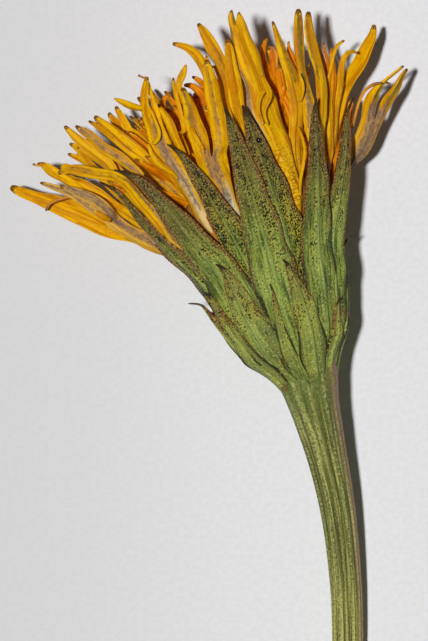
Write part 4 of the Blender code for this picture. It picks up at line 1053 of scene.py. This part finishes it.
def inside_cup(place):
    """The same place, drawn in towards the head's axis where the bracts stand."""
    height, across, forward = place
    if height < RIM_HEIGHT:
        room = max(float(cup_radius(height)) - RIM_CLEARANCE, LEAST_ROOM)
        across = float(np.clip(across, -room, room))
        deepest = FLATNESS * math.sqrt(max(room ** 2 - across ** 2, 0.0))
        forward = float(np.clip(forward, -deepest, deepest))
    return height, across, forward


def lay_ligule(petal, seed, angle, ring, turn, body, lobes, extras=(), stripe=0.0, cream=0.0, stripe_at=0.0,
               bands=(), bloom=0.0, bloom_end=BLOOM_FADE, breadth=0.62, pale_at=0.0, pale_breadth=3.0,
               dust_and_glint=0.0, stripe_from=-0.2):
    """One ligule, from its rolled tube on the seat to its lobes' dark tips."""
    petal.seed = seed
    root = ring_place(SEAT_TOP, angle, MOUTH_RADIUS[ring] * TUBE_FOOT_SHARE)
    low = ring_place(TUBE_MIDDLE_HEIGHT * body[0][0], angle, MOUTH_RADIUS[ring] * TUBE_MIDDLE_SHARE)
    held = [(*(place if ring == "flared" else inside_cup(place)),
             max(half, LOWEST_HALF_WIDTH - NARROWING * k))
            for k, (*place, half) in enumerate(body)]
    stations = [(*root, TUBE_HALF_WIDTH), (*low, TUBE_HALF_WIDTH), *held]
    run = smooth_run(stations, steps_for(stations, petal.step))
    count = len(run)
    share = np.linspace(0.0, 1.0, count)
    turns = angle + (turn - angle) * soft(share, *TURN_SPAN)
    cups = TUBE_ROLL + (BLADE_CUP - TUBE_ROLL) * soft(share, *OPEN_SPAN)
    rows, travelled = strap_rows(run, turns, cups, np.zeros(count), petal.columns, seed)
    x = np.linspace(-1.0, 1.0, petal.columns + 1)
    pale = stripe_across(x, pale_at, pale_breadth)
    across_stripe = stripe_across(x, stripe_at, breadth) * stripe
    numbers = None
    for r in range(count):
        base = pale * (bloom + (cream - bloom) * (1.0 - soft(share[r], *CREAM_SPAN)))
        dust_and_glint_here = dust_and_glint * (1.0 - soft(share[r], *DUST_AND_GLINT_SPAN))
        inked = across_stripe * soft(share[r], stripe_from, stripe_from + STRIPE_FADE)
        laid = petal.lay(rows[r], x, 0.0, run[r, 3], travelled[r], inked, base, dust_and_glint_here)
        if numbers:
            petal.join(numbers, laid)
        numbers = laid
    widths = np.array([lobe[0][3] for lobe in lobes])
    cuts = np.round(np.concatenate([[0.0], np.cumsum(widths)]) / widths.sum() * petal.columns).astype(int)
    for k, (lobe, first, last) in enumerate(zip(lobes, cuts, cuts[1:])):
        slice_row = rows[-1][first:last + 1]
        middle = (slice_row[0] + slice_row[-1]) / 2.0 - FOOT
        start = (middle @ ALONG, middle @ ACROSS, middle @ UPWARD,
                 np.linalg.norm(slice_row[-1] - slice_row[0]) / 2.0)
        end = (*lobe[-1][:3], max(lobe[-1][3], BLUNTNESS * lobe[-2][3]))
        stations = [start, *lobe[:-1], end]
        band = bands[k] if bands else (stripe, LOBE_SHIFT * math.sin(seed * 2.3), LOBE_STRIPE_BREADTH)
        root = (slice_row, numbers[first:last + 1], across_stripe[first:last + 1],
                run[-1, 3] * (x[first] + x[last]) / 2.0)
        lobe_run = smooth_run(stations, steps_for(stations, petal.step) + LOBE_MORE_ROWS)
        lay_tooth(petal, lobe_run, turn, band, travelled[-1], bloom * pale[first:last + 1], bloom_end, root)
    for tooth in extras:
        band = (stripe * TOOTH_STRIPE, 0.0, TOOTH_STRIPE_BREADTH)
        tooth_run = smooth_run(tooth, steps_for(tooth) + LOBE_MORE_ROWS)
        lay_tooth(petal, tooth_run, turn, band, travelled[-1], tipped=TOOTH_DARKNESS)


def make_ligules(name, petal, inner=False):
    """The piece made of all the blades that were laid."""
    piece = make_piece(name, petal.places, petal.faces, petal.lie, petal.paint,
                       [LIGULE_PAINTED_SHADE] * 2 if inner else [LIGULE_BACK, LIGULE_FACE], "florets")
    give_body(piece, np.array(petal.weights), PETAL_THICK, PETAL_EDGE_THICK, 0.0, rim_material=1)


for i, (name, shape) in enumerate(SHOWN_LIGULES.items()):
    blade = Blades(PETAL_COLUMNS, PETAL_STEP)
    inner = shape.pop("inner", False)
    lay_ligule(blade, i + 1.0, **shape)
    make_ligules("ligule_" + name, blade, inner)

# The ligules inside the head and on its under side. They stand in rings by the
# same plan, each a little different. The lowest ones lie on the paper.

# Count, first and last angle, ring, lean away from the head's axis in degrees,
# reach in mm, and whether the tips lie on the surface.
RULED_RINGS = (
    (9, 131.0, 246.0, "outer", 42.0, 12.0, True),
    (7, 120.0, 240.0, "middle", 30.0, 12.2, False),
    (13, 60.0, 318.0, "middle", 31.0, 10.8, False),
    (8, 236.0, 312.0, "outer", 45.0, 10.2, False),
    (4, 74.0, 112.0, "outer", 37.0, 9.8, False),
    (13, -40.0, 320.0, "inner", 20.0, 10.6, False),
    (8, 30.0, 360.0, "centre", 9.0, 10.0, False),
)
FAN_CENTRE_HEIGHT = 7.0
RIM_INSET = 1.3                          # a strap passes the bracts' rim this far inside
SURFACE_CLEARANCE = 0.09
RULED_SEED = 7
RULED_COLUMNS = 8
RULED_STEP = 0.5
INNER_REACH = 11.0                       # shorter ones get the deeper orange skin of painted shade
LOBES_FROM = 0.62                        # share of the reach where the lobes part
BODY_PLAN = ((0.28, 0.55), (0.45, 0.85), (LOBES_FROM, 1.0))   # share of the reach, of the width
LOBE_PLAN = ((0.75, 0.50), (0.9, 0.36), (1.0, 0.1))
SWING_AT = 0.8                           # share of the reach where a lobe has turned by its swing
FIRST_RING_SEED = 40.0
SEEDS_IN_RING = 16.0

draw = random.Random(RULED_SEED)
lowest = SURFACE_CLEARANCE - FOOT[2]
for k, (count, first, last, ring, lean, reach, rests) in enumerate(RULED_RINGS):
    blades = Blades(RULED_COLUMNS, RULED_STEP)
    for i in range(count):
        angle = first + (last - first) * i / (count - 1) + draw.uniform(-3.0, 3.0)
        tilt = math.radians(lean + draw.uniform(-5.0, 5.0))
        length = reach * draw.uniform(0.9, 1.04)
        width = draw.uniform(0.65, 0.9) if ring in ("outer", "middle") else draw.uniform(0.5, 0.7)
        body = []
        for share, breadth in BODY_PLAN:
            height = FAN_CENTRE_HEIGHT + length * share * math.cos(tilt)
            out = min(length * share * math.sin(tilt), float(cup_radius(height)) - RIM_INSET)
            body.append((*ring_place(height, angle, out), width * breadth))
        lobes = []
        swing = draw.uniform(3.0, 6.0)
        for way, reached in ((-1.0, draw.uniform(0.93, 1.0)), (1.0, draw.uniform(0.93, 1.0))):
            lobe = []
            for share, breadth in LOBE_PLAN:
                turned = math.radians(angle + way * swing * share / SWING_AT)
                out = length * reached * share * math.sin(tilt)
                forward = FLATNESS * out * math.cos(turned)
                if rests:
                    forward = forward + (lowest - forward) * (share - LOBES_FROM) / (1.0 - LOBES_FROM)
                height = FAN_CENTRE_HEIGHT + length * reached * share * math.cos(tilt)
                lobe.append((height, out * math.sin(turned), max(forward, lowest), width * breadth))
            lobes.append(lobe)
        lay_ligule(blades, FIRST_RING_SEED + SEEDS_IN_RING * k + i, angle, ring, angle, body, lobes,
                   stripe=draw.uniform(0.3, 1.0), cream=draw.uniform(0.0, 0.6),
                   stripe_at=draw.uniform(-0.3, 0.3))
    make_ligules("ligule_ring_%d" % (k + 1), blades, reach < INNER_REACH)

# The styles. Each floret has a thread-like style that stands out of its tube
# and curls. They are the same yellow, going brown as they dry.

STYLE_SIDES = 8
STYLES = {
    "low": ((13.4, -9.1, -1.4, 0.09), (13.5, -9.8, -1.2, 0.09), (13.5, -10.4, -1.5, 0.09),
            (13.2, -10.8, -2.2, 0.07)),
    "left_tip": ((15.7, -10.0, -0.6, 0.07), (15.7, -10.3, -0.5, 0.06), (15.9, -10.6, -0.5, 0.07)),
    "hook": ((18.1, -2.8, 5.4, 0.07), (18.2, -3.0, 5.5, 0.06), (18.4, -3.2, 5.5, 0.07)),
    "dark_loop": ((15.6, 4.3, 1.5, 0.09), (16.4, 4.4, 1.6, 0.10), (17.1, 4.6, 1.7, 0.11),
                  (17.4, 4.5, 1.7, 0.11), (17.5, 4.2, 1.6, 0.09)),
    "right_loop": ((11.6, 7.3, -1.0, 0.08), (12.2, 7.7, -0.8, 0.09), (12.9, 8.2, -0.6, 0.09),
                   (13.4, 8.8, -0.4, 0.10), (13.5, 9.4, -0.2, 0.10), (13.4, 9.8, -0.1, 0.07)),
    "right_bit": ((13.2, 9.6, -1.2, 0.07), (13.4, 10.0, -1.2, 0.07), (13.2, 10.2, -1.2, 0.09)),
}


def style_skin():
    """Dry yellow thread, browner at its ends."""
    material, shader, lie, paint = new_surface("style_thread_dry")
    mottle = pattern(lie, (6.0, 1.2, 1.0))
    colour = mottle.to("rise", 0.35, 0.65).to("mix", "DA9408", "B8700C")
    colour = colour.coated((paint[2].to("rise", 0.7, 1.0, 0.0, 0.8), "5A2E10"))
    feed(shader, {"Base Color": colour, "Normal": mottle.to("relief", 0.03 * MM, 0.6), "Roughness": 0.5})
    return material


STYLE_THREAD = style_skin()


def make_thread(name, stations, seed):
    """A round thread along its stations, closed at both ends."""
    run = smooth_run(stations, steps_for(stations) * 2)
    places = head_place(run)
    ways = directions(places)
    turn = np.arange(STYLE_SIDES) * 2.0 * math.pi / STYLE_SIDES
    rings, lie, paint = [], [], []
    side = np.cross(ways[0], UPWARD + 0.3 * ACROSS)
    for i, way in enumerate(ways):
        side = side - way * (side @ way)
        side /= np.linalg.norm(side)
        out = np.outer(np.cos(turn), side) + np.outer(np.sin(turn), np.cross(way, side))
        rings.append(places[i] + out * run[i, 3])
        lie.append(beside(turn * run[i, 3], i * PETAL_STEP / 2.0, seed * 2.3))
        paint.append(beside(0.0 * turn, 0.0, i / (len(run) - 1)))
    make_piece(name, rings, grid_faces(len(rings), STYLE_SIDES, ringed=True), lie, paint,
               [STYLE_THREAD], "florets")


for i, (name, stations) in enumerate(STYLES.items()):
    make_thread("style_" + name, stations, i + 1.0)

# One bead of sap on a bract, below its tip. It is plant juice that has dried
# dark and shiny, and it sticks where it dried.

BEAD_PLACE = (12.63, 1.92, 5.86)
BEAD_RADIUS = 0.15
BEAD_SIDES = 16
BEAD_ROWS = 7
BEAD_LIE_STEP = 0.05                     # mm of pattern between its rings

turn = np.arange(BEAD_SIDES) * 2.0 * math.pi / BEAD_SIDES
rings, lie = [], []
for k in range(1, BEAD_ROWS + 1):
    down = k * math.pi / (BEAD_ROWS + 1)
    out = BEAD_RADIUS * math.sin(down) * beside(0.0, np.cos(turn), np.sin(turn))
    rings.append(head_place(out + BEAD_PLACE + np.array([BEAD_RADIUS * math.cos(down), 0.0, 0.0])))
    lie.append(beside(turn * BEAD_RADIUS, k * BEAD_LIE_STEP, 0.0))
# Dried sap, black and glossy, a little brown in places.
BEAD_SAP = plain_skin("sap_dried", (9.0, 9.0, 1.0), 2.0, (0.4, 0.6), ("0D0C0C", "2A2522"), 0.15)
make_piece("sap_bead", rings, grid_faces(BEAD_ROWS, BEAD_SIDES, ringed=True), lie, np.zeros_like(lie),
           [BEAD_SAP], "involucre")

# The sheet of paper that the flower lies on, the lamp and the camera. The lamp
# is a small soft box a little to the left of the camera.

PAPER_SIZE = 0.6
LAMP_REACH = 0.8
LAMP_LEAN = 0.115                        # how far left it stands for each metre up
LAMP_SIZE = 0.03
LAMP_WATTS = 5.75
ROOM_LIGHT = 0.065
PHOTO_HEIGHT = 36.66 * MM                # what the photograph's height spans
PHOTO_CENTRE = (0.20 * MM, 7.87 * MM, 7.0 * MM)
LENS = 400.0
SENSOR = 36.0

corners = [(x * PAPER_SIZE / 2, y * PAPER_SIZE / 2, 0.0) for x, y in ((-1, -1), (1, -1), (1, 1), (-1, 1))]
sheet = bpy.data.meshes.new("paper")
sheet.from_pydata(corners, [], [(0, 1, 2, 3)])
paper = put("paper", sheet)

# Uncoated drawing paper, pale, with a grain of 0.3 mm, and painted shade that greys it to the left.
wove = bpy.data.materials.new("paper_uncoated")
wove.use_nodes = True
place = Field(add_node(wove.node_tree, "TexCoord", {}).outputs["Object"])
grain = place.to("noise", 3300.0, 3.0)
across = Field(add_node(wove.node_tree, "SeparateXYZ", {0: place}).outputs[0])
colour = grain.to("rise", 0.35, 0.65, 0.0, 1.0).to("mix", "E4E4E6", "E9E9EB")
# Painted shade: the sheet greys towards the left, where the light falls off.
colour = colour.coated((across.to("rise", -0.014, 0.008, 0.5, 0.0), "C8C8C9"))
feed(wove.node_tree.nodes["Principled BSDF"],
     {"Base Color": colour, "Normal": grain.to("relief", 0.01 * MM, 0.15), "Roughness": 0.85})
sheet.materials.append(wove)

lamp_data = bpy.data.lights.new("soft_box", "AREA")
lamp_data.shape = "DISK"
lamp_data.size = LAMP_SIZE
lamp_data.energy = LAMP_WATTS
lamp = put("soft_box", lamp_data)
lamp.location = (PHOTO_CENTRE[0] - LAMP_REACH * LAMP_LEAN, PHOTO_CENTRE[1], LAMP_REACH)
lamp.rotation_euler = (0.0, -math.atan(LAMP_LEAN), 0.0)

world = bpy.data.worlds.new("room")
world.use_nodes = True
feed(world.node_tree.nodes["Background"], {"Color": "F4F2EE", "Strength": ROOM_LIGHT})
bpy.context.scene.world = world
bpy.context.scene.view_settings.view_transform = "Standard"

camera_data = bpy.data.cameras.new("camera")
camera_data.lens = LENS
camera_data.sensor_width = SENSOR
camera = put("camera", camera_data)
distance = PHOTO_HEIGHT / 2.0 / (SENSOR / 2.0 / LENS)
camera.location = (PHOTO_CENTRE[0], PHOTO_CENTRE[1], PHOTO_CENTRE[2] + distance)
bpy.context.scene.camera = camera
